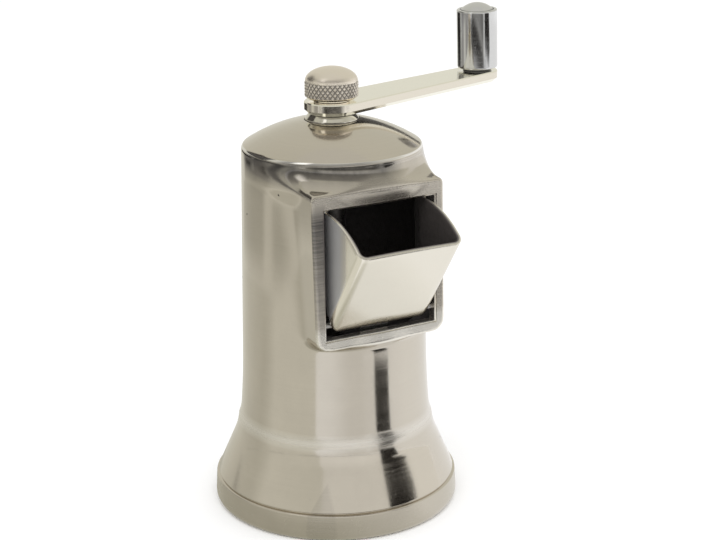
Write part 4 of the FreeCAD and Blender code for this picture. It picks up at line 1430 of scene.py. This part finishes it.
@dataclass
class Handle:
    """The upright grip with its riveted pin and washer, all on the pin's leaning axis."""

    grip_finish: PolishedMetal
    pin_finish: PolishedMetal
    washer_finish: PlainMetal
    origin: np.ndarray
    axis: np.ndarray
    radius: float = 5.5
    height: float = 15.9
    base: float = 0.706
    top_edge: float = 0.4
    bottom_edge: float = 0.5
    recess_radius: float = 4.6
    recess_depth: float = 0.8
    bore_radius: float = 2.25
    pin_radius: float = 2.2
    spigot_radius: float = 1.8
    arm_thickness: float = 3.0
    head_radius: float = 4.3
    head_edge: float = 0.75
    head_height: float = 2.5
    head_gap: float = 0.05
    washer_radius: float = 3.9
    washer_bottom: float = 0.156
    washer_thickness: float = 0.4
    steps: int = 112

    def on_pin(self, shell: Shell) -> Shell:
        """Puts a shell on the pin.

        Args:
            shell: the shell, built about +Z.

        Returns:
            The shell at the pin's foot, turned to the pin's direction.
        """
        side = np.cross([0.0, 1.0, 0.0], self.axis)
        side /= np.linalg.norm(side)
        turn = np.stack([side, np.cross(self.axis, side), self.axis], -1)
        return shell.moved(turn, self.origin)

    def build_grip(self) -> bpy.types.Object:
        """Makes the grip as a turned tube with a recess in its top."""
        top = self.base + self.height
        outline = rounded_outline([
            (self.bore_radius, self.base, 0), (self.radius, self.base, self.bottom_edge),
            (self.radius, top, self.top_edge), (self.recess_radius, top, 0.12),
            (self.recess_radius, top - self.recess_depth, 0.15),
            (self.bore_radius, top - self.recess_depth, 0)], 1.5, True)
        return make_piece("turning_grip", self.on_pin(turned(outline, self.steps)), "grip", "grip",
                          self.grip_finish.build())

    def build_pin(self) -> bpy.types.Object:
        """Makes the pin with its shoulder and its low domed head."""
        top = self.base + self.height
        low = top - self.recess_depth + self.head_gap
        edge_top = low + self.head_edge
        rise = self.head_height - self.head_edge
        sphere = (self.head_radius ** 2 + rise ** 2) / (2 * rise)
        lean = np.linspace(math.asin(self.head_radius / sphere), 0, 14)
        centre = edge_top + rise - sphere
        crown = np.stack([sphere * np.sin(lean), centre + sphere * np.cos(lean)], -1)
        shank = rounded_outline([
            (0, -self.arm_thickness, 0), (self.spigot_radius, -self.arm_thickness, 0),
            (self.spigot_radius, self.washer_bottom, 0), (self.pin_radius, self.washer_bottom, 0),
            (self.pin_radius, low, 0), (self.head_radius, low, 0.12),
            (self.head_radius, edge_top, 0)], 2.0, False)
        outline = np.vstack([shank[:-1], crown])
        return make_piece("riveted_pin", self.on_pin(turned(outline, self.steps)), "crank",
                          "grip_pin", self.pin_finish.build())

    def build_washer(self) -> bpy.types.Object:
        """Makes the washer between the arm and the grip."""
        top = self.washer_bottom + self.washer_thickness
        outline = rounded_outline([
            (self.pin_radius, self.washer_bottom, 0), (self.washer_radius, self.washer_bottom, 0.08),
            (self.washer_radius, top, 0.08), (self.pin_radius, top, 0)], 1.0, True)
        return make_piece("thin_washer", self.on_pin(turned(outline, 72)), "crank", "grip_washer",
                          self.washer_finish.build())


@dataclass
class Hopper:
    """The tip-out hopper: a bent sheet of front panel and two cheeks, and its hinge knuckle."""

    finish: PolishedMetal
    hinge_out: float = 22.5
    hinge_height: float = 56.0
    open_angle: float = 35.0
    half_width: float = 14.35
    sheet: float = 1.05
    face_offset: float = 1.9
    corner: float = 2.4
    foot_corner: float = 3.2
    foot_drop: float = 0.8
    lip_radius: float = 26.9
    rear_radius: float = 28.4
    stop_radius: float = 30.8
    stop_angle: float = 36.017
    stop_width: float = 5.0
    lip_round: float = 0.3
    lip_crown: float = 0.3
    knuckle_radius: float = 1.7
    knuckle_half: float = 10.5
    bore: float = 0.85

    def section(self) -> tuple[np.ndarray, np.ndarray]:
        """The sheet's outer line seen from above, and its outward direction at each place."""
        stop, back = math.radians(self.stop_angle), math.radians(self.stop_angle + self.stop_width)
        rear = self.stop_radius * math.sin(back) - 0.05
        horn_low, horn_high = self.rear_radius * math.sin(stop), self.stop_radius * math.sin(stop)
        corner_depth = self.corner - self.face_offset
        # Closest together at the horn's edges, where the top edge bends
        cheek = np.concatenate([np.linspace(rear, horn_high, 7),
                                np.linspace(horn_high, horn_low, 3)[1:], [horn_low - 0.1],
                                np.linspace(horn_low - 0.4, corner_depth + 0.15, 22),
                                [corner_depth]])
        turn = np.radians(np.linspace(0, 90, 11))[1:-1]
        middle = np.linspace(-1, 1, 37) * (self.half_width - self.corner)
        centre = self.half_width - self.corner
        x = np.concatenate([np.full(len(cheek), -self.half_width),
                            -centre - self.corner * np.cos(turn), middle,
                            centre + self.corner * np.sin(turn),
                            np.full(len(cheek), self.half_width)])
        y = np.concatenate([cheek, corner_depth - self.corner * np.sin(turn),
                            np.full(len(middle), -self.face_offset),
                            corner_depth - self.corner * np.cos(turn), cheek[::-1]])
        out_x = np.concatenate([np.full(len(cheek), -1.0), -np.cos(turn), np.zeros(len(middle)),
                                np.sin(turn), np.full(len(cheek), 1.0)])
        out_y = np.concatenate([np.zeros(len(cheek)), -np.sin(turn), np.full(len(middle), -1.0),
                                -np.cos(turn), np.zeros(len(cheek))])
        return np.stack([x, y], -1), np.stack([out_x, out_y], -1)

    def top_at(self, depth: np.ndarray, x: np.ndarray) -> np.ndarray:
        """Height of the top edge: one arc from the lip to the horn, then the horn itself.

        Args:
            depth: how far back each place of the section is.
            x: how far across it is.

        Returns:
            The height at each place.
        """
        stop = math.radians(self.stop_angle)
        lip = np.array([-self.face_offset, math.sqrt(self.lip_radius ** 2 - self.face_offset ** 2)])
        middle_angle = (stop + math.atan2(lip[0], lip[1])) / 2
        mean = (self.lip_radius + self.rear_radius) / 2
        middle = mean * np.array([math.sin(middle_angle), math.cos(middle_angle)])
        low = self.rear_radius * np.array([math.sin(stop), math.cos(stop)])
        high = self.stop_radius * np.array([math.sin(stop), math.cos(stop)])
        sums = [2 * (middle - lip), 2 * (low - lip)]
        sides = [middle @ middle - lip @ lip, low @ low - lip @ lip]
        centre = np.linalg.solve(np.array(sums), np.array(sides))
        radius = np.hypot(*(lip - centre))
        arc = centre[1] + np.sqrt(np.maximum(radius ** 2 - (depth - centre[0]) ** 2, 0))
        front = low[1] + (depth - low[0]) * (high[1] - low[1]) / (high[0] - low[0])
        horn = np.sqrt(np.maximum(self.stop_radius ** 2 - depth ** 2, 0))
        crown = self.lip_crown * np.maximum(1 - (x / self.half_width) ** 2, 0) * (depth < 0.4)
        return np.where(depth <= low[0], arc + crown, np.where(depth < high[0], front, horn))

    def bottom_at(self, depth: np.ndarray, x: np.ndarray) -> np.ndarray:
        """Height of the lower edge: the foot with its round corners, and the sloping back.

        Args:
            depth: how far back each place of the section is.
            x: how far across it is.

        Returns:
            The height at each place.
        """
        back = math.radians(self.stop_angle + self.stop_width)
        end = self.stop_radius * np.array([math.sin(back), math.cos(back)])
        start = np.array([-self.face_offset + self.sheet, -self.foot_drop])
        steepness = (end[1] - start[1]) / (end[0] - start[0])
        slope = start[1] + np.maximum(depth - start[0], 0) * steepness
        corner = self.foot_corner
        past = np.clip(abs(x) - (self.half_width - corner), 0, corner)
        round_corner = corner - np.sqrt(corner ** 2 - past ** 2) - self.foot_drop
        return np.maximum(slope, round_corner)

    def bent_sheet(self) -> Shell:
        """The sheet as a closed loop of rows: up the outside, over the lip, down inside.

        A row's place is the section moved inward by an offset, at a height between the lower
        and the upper edge, and both edges are half round.
        """
        line, outward = self.section()
        round_off = np.radians(np.linspace(0, 90, 4))
        edge_in = self.lip_round * (1 - np.cos(round_off))
        edge_up = self.lip_round * (1 - np.sin(round_off))
        share = np.linspace(0, 1, 25)
        offsets = np.concatenate([np.zeros(len(share)), edge_in[1:],
                                  self.sheet - edge_in[::-1][:-1], np.full(len(share), self.sheet),
                                  (self.sheet - edge_in)[1:], edge_in[::-1][:-1]])
        line_in = line[None] - outward[None] * offsets[:, None, None]
        x, depth = line_in[..., 0], line_in[..., 1]
        top, bottom = self.top_at(line[:, 1], line[:, 0]), self.bottom_at(line[:, 1], line[:, 0])
        span = np.maximum(top - bottom - 2 * self.lip_round, 0)
        rise = (bottom + self.lip_round)[None] + share[:, None] * span[None]
        edge = np.concatenate([edge_up[1:], edge_up[::-1][:-1]])[:, None]
        over, under = top[None] - edge, bottom[None] + edge
        height = np.vstack([rise, over, rise[::-1], under])
        grid = np.stack([x, depth, height], -1)
        inside = (offsets > self.sheet / 2).astype(float)
        under_rows = len(round_off) - 1
        return capped_tube(np.roll(grid, under_rows, 0), np.roll(inside, under_rows))

    def knuckle(self) -> Shell:
        """The tube along the sheet's foot that turns on the hinge pin."""
        end = self.knuckle_half
        tube = turned(np.array([(self.bore, -end), (self.knuckle_radius, -end),
                                (self.knuckle_radius, end), (self.bore, end)]), 40, 0)
        lying = np.array([[0, 0, 1.0], [0, 1, 0], [-1, 0, 0]])
        return tube.moved(lying, np.zeros(3))

    def build(self) -> bpy.types.Object:
        """Makes the hopper's sheet and knuckle, both tipped out about the hinge."""
        angle = math.radians(self.open_angle)
        tip = np.array([[1, 0, 0], [0, math.cos(angle), -math.sin(angle)],
                        [0, math.sin(angle), math.cos(angle)]])
        place = np.array([0, -self.hinge_out, self.hinge_height])
        shells = [shell.moved(tip, place) for shell in (self.bent_sheet(), self.knuckle())]
        return make_piece("tip_out_hopper", joined(shells), "hopper", "hopper",
                          self.finish.build())


@dataclass
class InnerWorks:
    """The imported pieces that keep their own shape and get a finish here."""

    finishes: dict[str, PlainMetal | PolishedMetal]

    def dress(self) -> None:
        """Gives each of these pieces its finish."""
        made: dict[str, bpy.types.Material] = {}
        for node, finish in self.finishes.items():
            material = made.get(finish.name) or finish.build()
            made[finish.name] = material
            piece = frame["nodes"][node]
            for slot in piece.material_slots:
                slot.material = material
            log.info("%s: finished as %s", node, finish.name)


# The studio


@dataclass
class Boards:
    """Boards that only the metal mirrors: the pale and the dark places of the room.

    An azimuth is in degrees from +X, and lengths are in metres from the middle of the mill's
    foot. Where a board's own tone has only a share, its under tone has the rest.
    """

    white: Colour = (1.0, 1.0, 1.0)
    khaki: Colour = (0.76, 0.75, 0.68)
    khaki_shade: Colour = (0.52, 0.51, 0.45)
    khaki_dark: Colour = (0.60, 0.59, 0.52)
    khaki_dusk: Colour = (0.50, 0.49, 0.43)
    khaki_high: Colour = (0.69, 0.68, 0.61)
    cream: Colour = (0.80, 0.79, 0.76)
    smudge: Colour = (0.62, 0.61, 0.58)
    contact: Colour = (0.50, 0.49, 0.42)
    smoke: Colour = (0.33, 0.32, 0.30)
    grey: Colour = (0.22, 0.21, 0.20)
    dusk: Colour = (0.08, 0.075, 0.07)
    black: Colour = (0.020, 0.018, 0.016)
    bright: Colour = (1.5, 1.5, 1.47)
    glow: Colour = (1.35, 1.34, 1.32)
    flag_height: float = 0.017
    finish: bpy.types.Material = field(init=False)

    def __post_init__(self) -> None:
        """Makes the boards' shared finish, which shines evenly in each place's own tone."""
        sheet = NodeSheet("board")
        sheet.feed(sheet.shader.inputs["Emission Color"], sheet.attribute("tone", "Color"))
        sheet.shader.inputs["Emission Strength"].default_value = 1.0
        sheet.shader.inputs["Specular IOR Level"].default_value = 0.0
        self.finish = sheet.finish((0, 0, 0, 1), 1.0, metallic=0.0)
        self.finish.cycles.emission_sampling = "NONE"

    def board(self, name: str, places: np.ndarray, tones: np.ndarray) -> None:
        """Puts up a board that only the metal mirrors, with a tone that fades between its rows.

        Args:
            name: the board's name.
            places: its places in metres, by row and column.
            tones: its colour at each place.
        """
        rows, columns = places.shape[:2]
        mesh = bpy.data.meshes.new(name)
        faces = grid_faces(rows, columns, False, False)
        mesh.from_pydata(places.reshape(-1, 3).tolist(), [], faces.tolist())
        colours = np.concatenate([tones, np.ones((rows, columns, 1))], -1)
        mesh.attributes.new("tone", "FLOAT_COLOR", "POINT").data.foreach_set(
            "color", colours.astype(np.float32).ravel())
        mesh.materials.append(self.finish)
        board = placed(name, mesh)
        board.visible_camera = False
        board.visible_diffuse = False
        board.visible_shadow = False

    def faded(self, tones: list[Colour], azimuths: np.ndarray, shares: list[Pair],
              under: Colour) -> np.ndarray:
        """Tones by row and azimuth, which fade towards another tone where the share is low.

        Args:
            tones: the tone of each row.
            azimuths: the azimuth of each column.
            shares: azimuths and the share that the rows' own tone has there.
            under: the tone that has the rest.

        Returns:
            The colours by row and column.
        """
        share = np.interp(azimuths, *zip(*shares))[None, :, None]
        return np.array(tones, float)[:, None] * share + np.array(under) * (1 - share)

    def lying(self, name: str, azimuths: Pair, rings: list[tuple], under: Colour,
              shares: list[Pair], height: float = 0.0003) -> None:
        """Lays out a level board shaped like a slice of a ring.

        Args:
            name: the board's name.
            azimuths: where the slice starts and ends.
            rings: the radius in metres and the tone of each ring, from the middle outwards.
            under: the tone that it fades to.
            shares: azimuths and the share of its own tone there.
            height: how high above the floor it lies, in metres.
        """
        degrees = np.linspace(*azimuths, 61)
        angle = np.radians(degrees)
        radii = np.array([ring[0] for ring in rings])[:, None]
        places = np.stack([radii * np.cos(angle), radii * np.sin(angle),
                           np.full((len(rings), len(angle)), height)], -1)
        self.board(name, places, self.faded([ring[1] for ring in rings], degrees, shares, under))

    def even_rows(self, first: float, last: float, rows: list[tuple]) -> list[tuple]:
        """Rows of height and tone for a standing board, all from one azimuth to another."""
        return [(first, last, height, tone) for height, tone in rows]

    def standing(self, name: str, rows: list[tuple], distance: float, under: Colour,
                 shares: list[Pair]) -> None:
        """Stands up a curved board at a distance from the mill.

        Args:
            name: the board's name.
            rows: the start and end azimuth, the height in metres and the tone of each row.
            distance: how far from the mill it stands, in metres.
            under: the tone that it fades to.
            shares: azimuths and the share of its own tone there.
        """
        across = np.linspace(0, 1, 61)
        places, tones = [], []
        for first, last, height, tone in rows:
            degrees = first + (last - first) * across
            angle = np.radians(degrees)
            places.append(np.stack([distance * np.cos(angle), distance * np.sin(angle),
                                    np.full(len(angle), height)], -1))
            tones.append(self.faded([tone], degrees, shares, under)[0])
        self.board(name, np.array(places), np.array(tones))

    def floor_boards(self) -> None:
        """Lays the boards on the floor: khaki left and behind, cream in front and right."""
        mottled = [(72, 0.9), (108, 0.55), (125, 0.45), (150, 0.0), (158, 0.3), (168, 1.0),
                   (230, 1.0)]
        pale = [(-140, 0.0), (-124, 0.1), (-104, 0.85), (-92, 0.9), (-70, 0.4), (-58, 0.15),
                (40, 0.2), (70, 0.0)]
        near_foot = [(215, 1.0), (235, 1.0), (285, 0.55), (300, 0.3), (345, 0.3)]
        self.lying("khaki_board", (72, 220), [(0.050, self.khaki), (0.9, self.khaki)],
                   self.khaki_dark, mottled)
        self.lying("cream_board", (-140, 70), [(0.050, self.cream), (0.85, self.cream)],
                   self.white, pale)
        self.lying("contact_shade", (72, 345), [(0.031, self.contact), (0.046, self.contact),
                                                (0.056, self.khaki)],
                   self.white, near_foot, 0.0004)
        self.standing("khaki_backdrop", [(50, 224, 0.0, self.khaki), (30, 224, 0.22, self.khaki),
                                         (0, 230, 0.44, self.khaki_high),
                                         (-40, 240, 2.0, self.khaki_high)], 0.9,
                      self.khaki_dark, mottled)

    def flags(self) -> None:
        """Hangs level flags just above the floor, so that the low skirt sees them edge-on."""
        left = [(0.165, self.khaki), (0.210, self.khaki_shade), (0.300, self.khaki_dusk),
                (0.355, self.smoke), (0.475, self.smoke), (0.64, self.dusk), (0.9, self.dusk)]
        self.lying("left_flag", (92, 200), left, self.khaki,
                   [(92, 0.0), (100, 0.8), (125, 1.0), (146, 1.0), (153, 0.25), (160, 0.3),
                    (168, 1.0), (180, 1.0), (200, 0.0)], self.flag_height)
        self.lying("far_left_flag", (84, 128), [(0.385, self.black), (0.75, self.black)],
                   self.khaki, [(84, 0.0), (90, 1.0), (118, 1.0), (128, 0.0)],
                   self.flag_height + 0.001)
        self.lying("front_flag", (-176, -60), [(0.300, self.white), (0.330, self.grey),
                                               (0.355, self.black), (0.75, self.black)], self.white,
                   [(-176, 0.0), (-168, 0.5), (-155, 0.9), (-145, 1.0), (-112, 1.0), (-92, 0.95),
                    (-82, 0.9), (-72, 0.4), (-60, 0.0)], self.flag_height)
        self.lying("side_smudge", (-86, -50), [(0.160, self.white), (0.205, self.smudge),
                                               (0.26, self.smudge), (0.34, self.white)], self.white,
                   [(-86, 0.0), (-76, 1.0), (-66, 1.0), (-50, 0.0)])

    def canopies(self) -> None:
        """Hangs the higher boards, dark and bright, which the dome, cove and bush mirror."""
        dusk, high = self.dusk, self.khaki_high
        canopy = [(0.22, self.white), (0.27, self.smoke), (0.60, self.smoke), (0.75, high)]
        self.standing("canopy", self.even_rows(-200, -15, canopy), 0.42, high,
                      [(-200, 0.0), (-188, 1.0), (-78, 1.0), (-58, 0.6), (-40, 0.3), (-15, 0.0)])
        self.standing("left_dusk", self.even_rows(100, 154, [(0.20, dusk), (0.70, dusk)]), 0.7,
                      high, [(100, 0.0), (106, 1.0), (148, 1.0), (154, 0.0)])
        cove = [(0.080, self.smoke), (0.087, dusk), (0.098, dusk), (0.112, self.khaki_dark)]
        self.standing("cove_band", self.even_rows(118, 302, cove), 0.145, self.bright,
                      [(118, 0.6), (124, 0.9), (196, 0.9), (200, 0.0), (208, 0.0), (213, 0.95),
                       (270, 0.9), (291, 0.95), (302, 0.4)])
        window = [(0.36, high), (0.46, self.glow), (0.88, self.glow), (0.98, high)]
        self.standing("soft_light", self.even_rows(-180, -150, window), 0.40, self.smoke,
                      [(-180, 0.0), (-172, 1.0), (-160, 1.0), (-150, 0.0)])

    def low_boards(self) -> None:
        """Puts up the black boards that the wall and the skirt mirror as one dark strip."""
        black = self.black
        self.standing("black_board", [(-70, -46, 0.053, black), (-70, -38, 0.062, black),
                                      (-70, -42, 0.078, black), (-69, -46, 0.095, black),
                                      (-69, -50, 0.112, black)],
                      0.30, self.grey, [(-70, 1.0), (-50, 1.0), (-31, 0.6)])
        self.standing("black_step", [(-72, -54, 0.001, black), (-71, -50, 0.033, black),
                                     (-71, -60, 0.041, black)],
                      0.20, black, [(-72, 1.0), (-50, 1.0)])
        left = np.array([(0.019, -0.083), (0.047, -0.149)])
        right = np.array([(0.041, -0.072), (0.086, -0.122)])
        steps, height, paler = 12, 0.0008, 0.03
        share = np.linspace(0, 1, steps)[:, None, None]
        lines = left * (1 - share) + right * share
        places = np.concatenate([lines, np.full((steps, 2, 1), height)], -1)
        fade = np.clip(share * 1.8 - 0.8, 0, 1) * paler
        self.board("black_strip", places, np.tile(np.array(black) + fade, (1, 2, 1)))

    def build(self) -> None:
        """Puts up every board."""
        self.floor_boards()
        self.flags()
        self.canopies()
        self.low_boards()


@dataclass(frozen=True)
class Lamp:
    """A soft lamp that faces the mill, and that the metal doesn't mirror.

    It hangs at an azimuth from +X and an elevation in degrees, and at a distance in metres. Its
    size is a width and a height in metres, and its power is in watts.
    """

    name: str
    azimuth: float
    elevation: float
    distance: float
    size: Pair
    power: float
    colour: Colour
    aim_height: float = 0.05

    def hang(self) -> None:
        """Hangs the lamp."""
        light = bpy.data.lights.new(self.name, "AREA")
        light.shape, light.energy, light.color = "RECTANGLE", self.power, self.colour
        light.size, light.size_y = self.size
        lamp = placed(self.name, light)
        a, e = math.radians(self.azimuth), math.radians(self.elevation)
        direction = np.array([math.cos(a) * math.cos(e), math.sin(a) * math.cos(e), math.sin(e)])
        place = self.distance * direction + (0, 0, self.aim_height)
        away = place / np.linalg.norm(place)
        side = np.cross([0, 0, 1.0], away)
        side /= np.linalg.norm(side)
        turn = Matrix(np.stack([side, np.cross(away, side), away], -1).tolist()).to_4x4()
        lamp.matrix_world = Matrix.Translation(place.tolist()) @ turn
        lamp.visible_glossy = False


@dataclass
class Studio:
    """A white floor, even light, and the camera at the photograph's viewing place."""

    floor_radius: float = 3.0
    floor_bounce: Colour = (0.78, 0.77, 0.75)
    low_air: Colour = (0.95, 0.94, 0.91)
    high_air: Colour = (0.66, 0.65, 0.60)
    plain_air: Colour = (0.97, 0.97, 0.97)
    air_from: float = 0.15
    air_to: float = 0.75
    camera_place: Triple = (-0.19489, -0.35697, 0.19093)
    camera_yaw: float = -29.5188
    camera_pitch: float = -17.6235
    camera_roll: float = -0.41446
    lens: float = 82.96
    sensor_width: float = 36.0
    nearest: float = 0.01
    furthest: float = 20.0

    def floor(self) -> None:
        """Lays the floor, which is white to the eye and in the metal."""
        sheet = NodeSheet("pale_floor")
        path = sheet.add("ShaderNodeLightPath")
        seen = sheet.maths("ADD", path.outputs["Is Camera Ray"], path.outputs["Is Glossy Ray"])
        seen = sheet.maths("ADD", seen, path.outputs["Is Transmission Ray"])
        tone = sheet.mixed(seen, self.floor_bounce, (1.0, 1.0, 1.0))
        material = sheet.finish(tone, 0.9, metallic=0.0)
        sheet.shader.inputs["Specular IOR Level"].default_value = 0.0
        mesh = bpy.data.meshes.new("floor")
        corners = np.array([(-1, -1, 0), (1, -1, 0), (1, 1, 0), (-1, 1, 0)]) * self.floor_radius
        mesh.from_pydata(corners.tolist(), [], [(0, 1, 2, 3)])
        mesh.materials.append(material)
        floor = placed("floor", mesh)

    def lamps(self) -> None:
        """Hangs the soft lamps, which the boards stand in for in the metal."""
        Lamp("key_lamp", azimuth=-122, elevation=57, distance=1.2, size=(0.9, 0.55), power=4.2,
             colour=(0.98, 0.99, 1.0)).hang()
        Lamp("side_lamp", azimuth=-15, elevation=40, distance=1.2, size=(0.35, 0.35), power=0.9,
             colour=(1.0, 0.99, 0.97)).hang()

    def world(self) -> None:
        """Fills the room with even white light, and a darker ceiling for the metal to mirror."""
        world = bpy.data.worlds.new("studio_air")
        bpy.context.scene.world = world
        world.use_nodes = True
        tree = world.node_tree
        background = tree.nodes["Background"]
        place = tree.nodes.new("ShaderNodeTexCoord").outputs["Generated"]
        parts = tree.nodes.new("ShaderNodeSeparateXYZ")
        tree.links.new(place, parts.inputs[0])
        ramp = tree.nodes.new("ShaderNodeValToRGB")
        low, top = ramp.color_ramp.elements
        low.position, low.color = self.air_from, (*self.low_air, 1)
        top.position, top.color = self.air_to, (*self.high_air, 1)
        tree.links.new(parts.outputs["Z"], ramp.inputs[0])
        path = tree.nodes.new("ShaderNodeLightPath")
        mix = tree.nodes.new("ShaderNodeMixRGB")
        tree.links.new(path.outputs["Is Glossy Ray"], mix.inputs["Fac"])
        mix.inputs["Color1"].default_value = (*self.plain_air, 1)
        tree.links.new(ramp.outputs[0], mix.inputs["Color2"])
        tree.links.new(mix.outputs[0], background.inputs["Color"])

    def camera(self) -> None:
        """Sets the camera at the photograph's viewing place, aim and lens."""
        data = bpy.data.cameras.new("camera")
        data.sensor_fit, data.sensor_width, data.lens = "HORIZONTAL", self.sensor_width, self.lens
        data.clip_start, data.clip_end = self.nearest, self.furthest
        camera = placed("camera", data)
        turn = (Matrix.Rotation(math.radians(self.camera_yaw), 4, "Z")
                @ Matrix.Rotation(math.radians(90 + self.camera_pitch), 4, "X")
                @ Matrix.Rotation(math.radians(self.camera_roll), 4, "Z"))
        camera.matrix_world = Matrix.Translation(self.camera_place) @ turn
        bpy.context.scene.camera = camera

    def build(self) -> None:
        """Sets up the whole studio."""
        bpy.context.scene.view_settings.view_transform = "Standard"
        self.floor()
        Boards().build()
        self.lamps()
        self.world()
        self.camera()
        log.info("studio: floor, boards, lamps and camera")


def joint_axis(name: str) -> tuple[np.ndarray, np.ndarray]:
    """Reads a joint from the record.

    Args:
        name: the joint's name.

    Returns:
        Its place in millimetres and its direction.
    """
    joint = next(j for j in frame["joints"] if j["name"] == name)
    axis = np.array(joint["axis"], float)
    return np.array(joint["pos_m"], float) / MM, axis / np.linalg.norm(axis)


def main() -> None:
    """Builds every piece in order and sets up the studio round them."""
    cast_metal = CastMetal("polished_casting", (0.655, 0.607, 0.530), Grain.ROUND, 0.08, 0.16)
    sheet_metal = HopperMetal("hopper_sheet", (0.84, 0.80, 0.71), Grain.UPRIGHT, 0.12, 0.22,
                              inside_tone=(0.13, 0.115, 0.108), inside_rough=0.40,
                              inside_metallic=0.4)
    plating = PolishedMetal("bright_plating", (0.71, 0.68, 0.60), Grain.EVEN, 0.06, 0.14,
                            wave_depth=0.000004)
    arm_metal = ArmMetal("crank_plating", (0.99, 0.95, 0.84), Grain.EVEN, 0.08, 0.16,
                         wave_depth=0.000006, inside_tone=None)
    # The nut's near-black inside tone also paints shade into the knurl's grooves
    nickel = NutMetal("nickel_nut", (0.86, 0.79, 0.69), Grain.ROUND, 0.08, 0.14,
                      wave_depth=0.000004, inside_tone=(0.04, 0.036, 0.032))
    chrome = PolishedMetal("chrome_grip", (0.70, 0.70, 0.70), Grain.ROUND, 0.06, 0.12,
                           wave_depth=0.000003)
    steel = PlainMetal("plain_steel", (0.56, 0.55, 0.54), 0.34)
    dark_steel = PlainMetal("dark_washer", (0.20, 0.20, 0.21), 0.45)
    spring = PlainMetal("spring_steel", (0.50, 0.49, 0.47), 0.30)
    burr = PlainMetal("burr_steel", (0.40, 0.39, 0.38), 0.42, soil_share=0.5)
    bridge = PlainMetal("bridge_metal", (0.62, 0.61, 0.59), 0.38)
    brass = PlainMetal("bush_brass", (0.72, 0.54, 0.27), 0.30)

    nut_low, nut_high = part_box("cap_nut")
    pin_place, pin_axis = joint_axis("grip_spin")
    Casting(cast_metal).build()
    TopBush(plating).build()
    CapNut(nickel, nut_low.z / MM, nut_high.z / MM).build()
    handle = Handle(chrome, chrome, dark_steel, pin_place, pin_axis)
    handle.build_grip()
    handle.build_pin()
    handle.build_washer()
    Hopper(sheet_metal).build()
    InnerWorks({
        "crank_arm": arm_metal, "spindle": steel, "spindle_spring": spring, "spring_washer": steel,
        "spindle_clip": spring, "rotor_burr": burr, "rotor_nut": steel, "stator_ring": burr,
        "stator_key": steel, "bridge": bridge, "lower_bush": brass, "bridge_screws": steel,
        "hinge_pin": steel, "hopper_leaf": spring, "leaf_screw": steel}).dress()
    Studio().build()


if __name__ == "__main__":
    logging.basicConfig(level=logging.INFO, format="%(name)s: %(message)s")
    main()
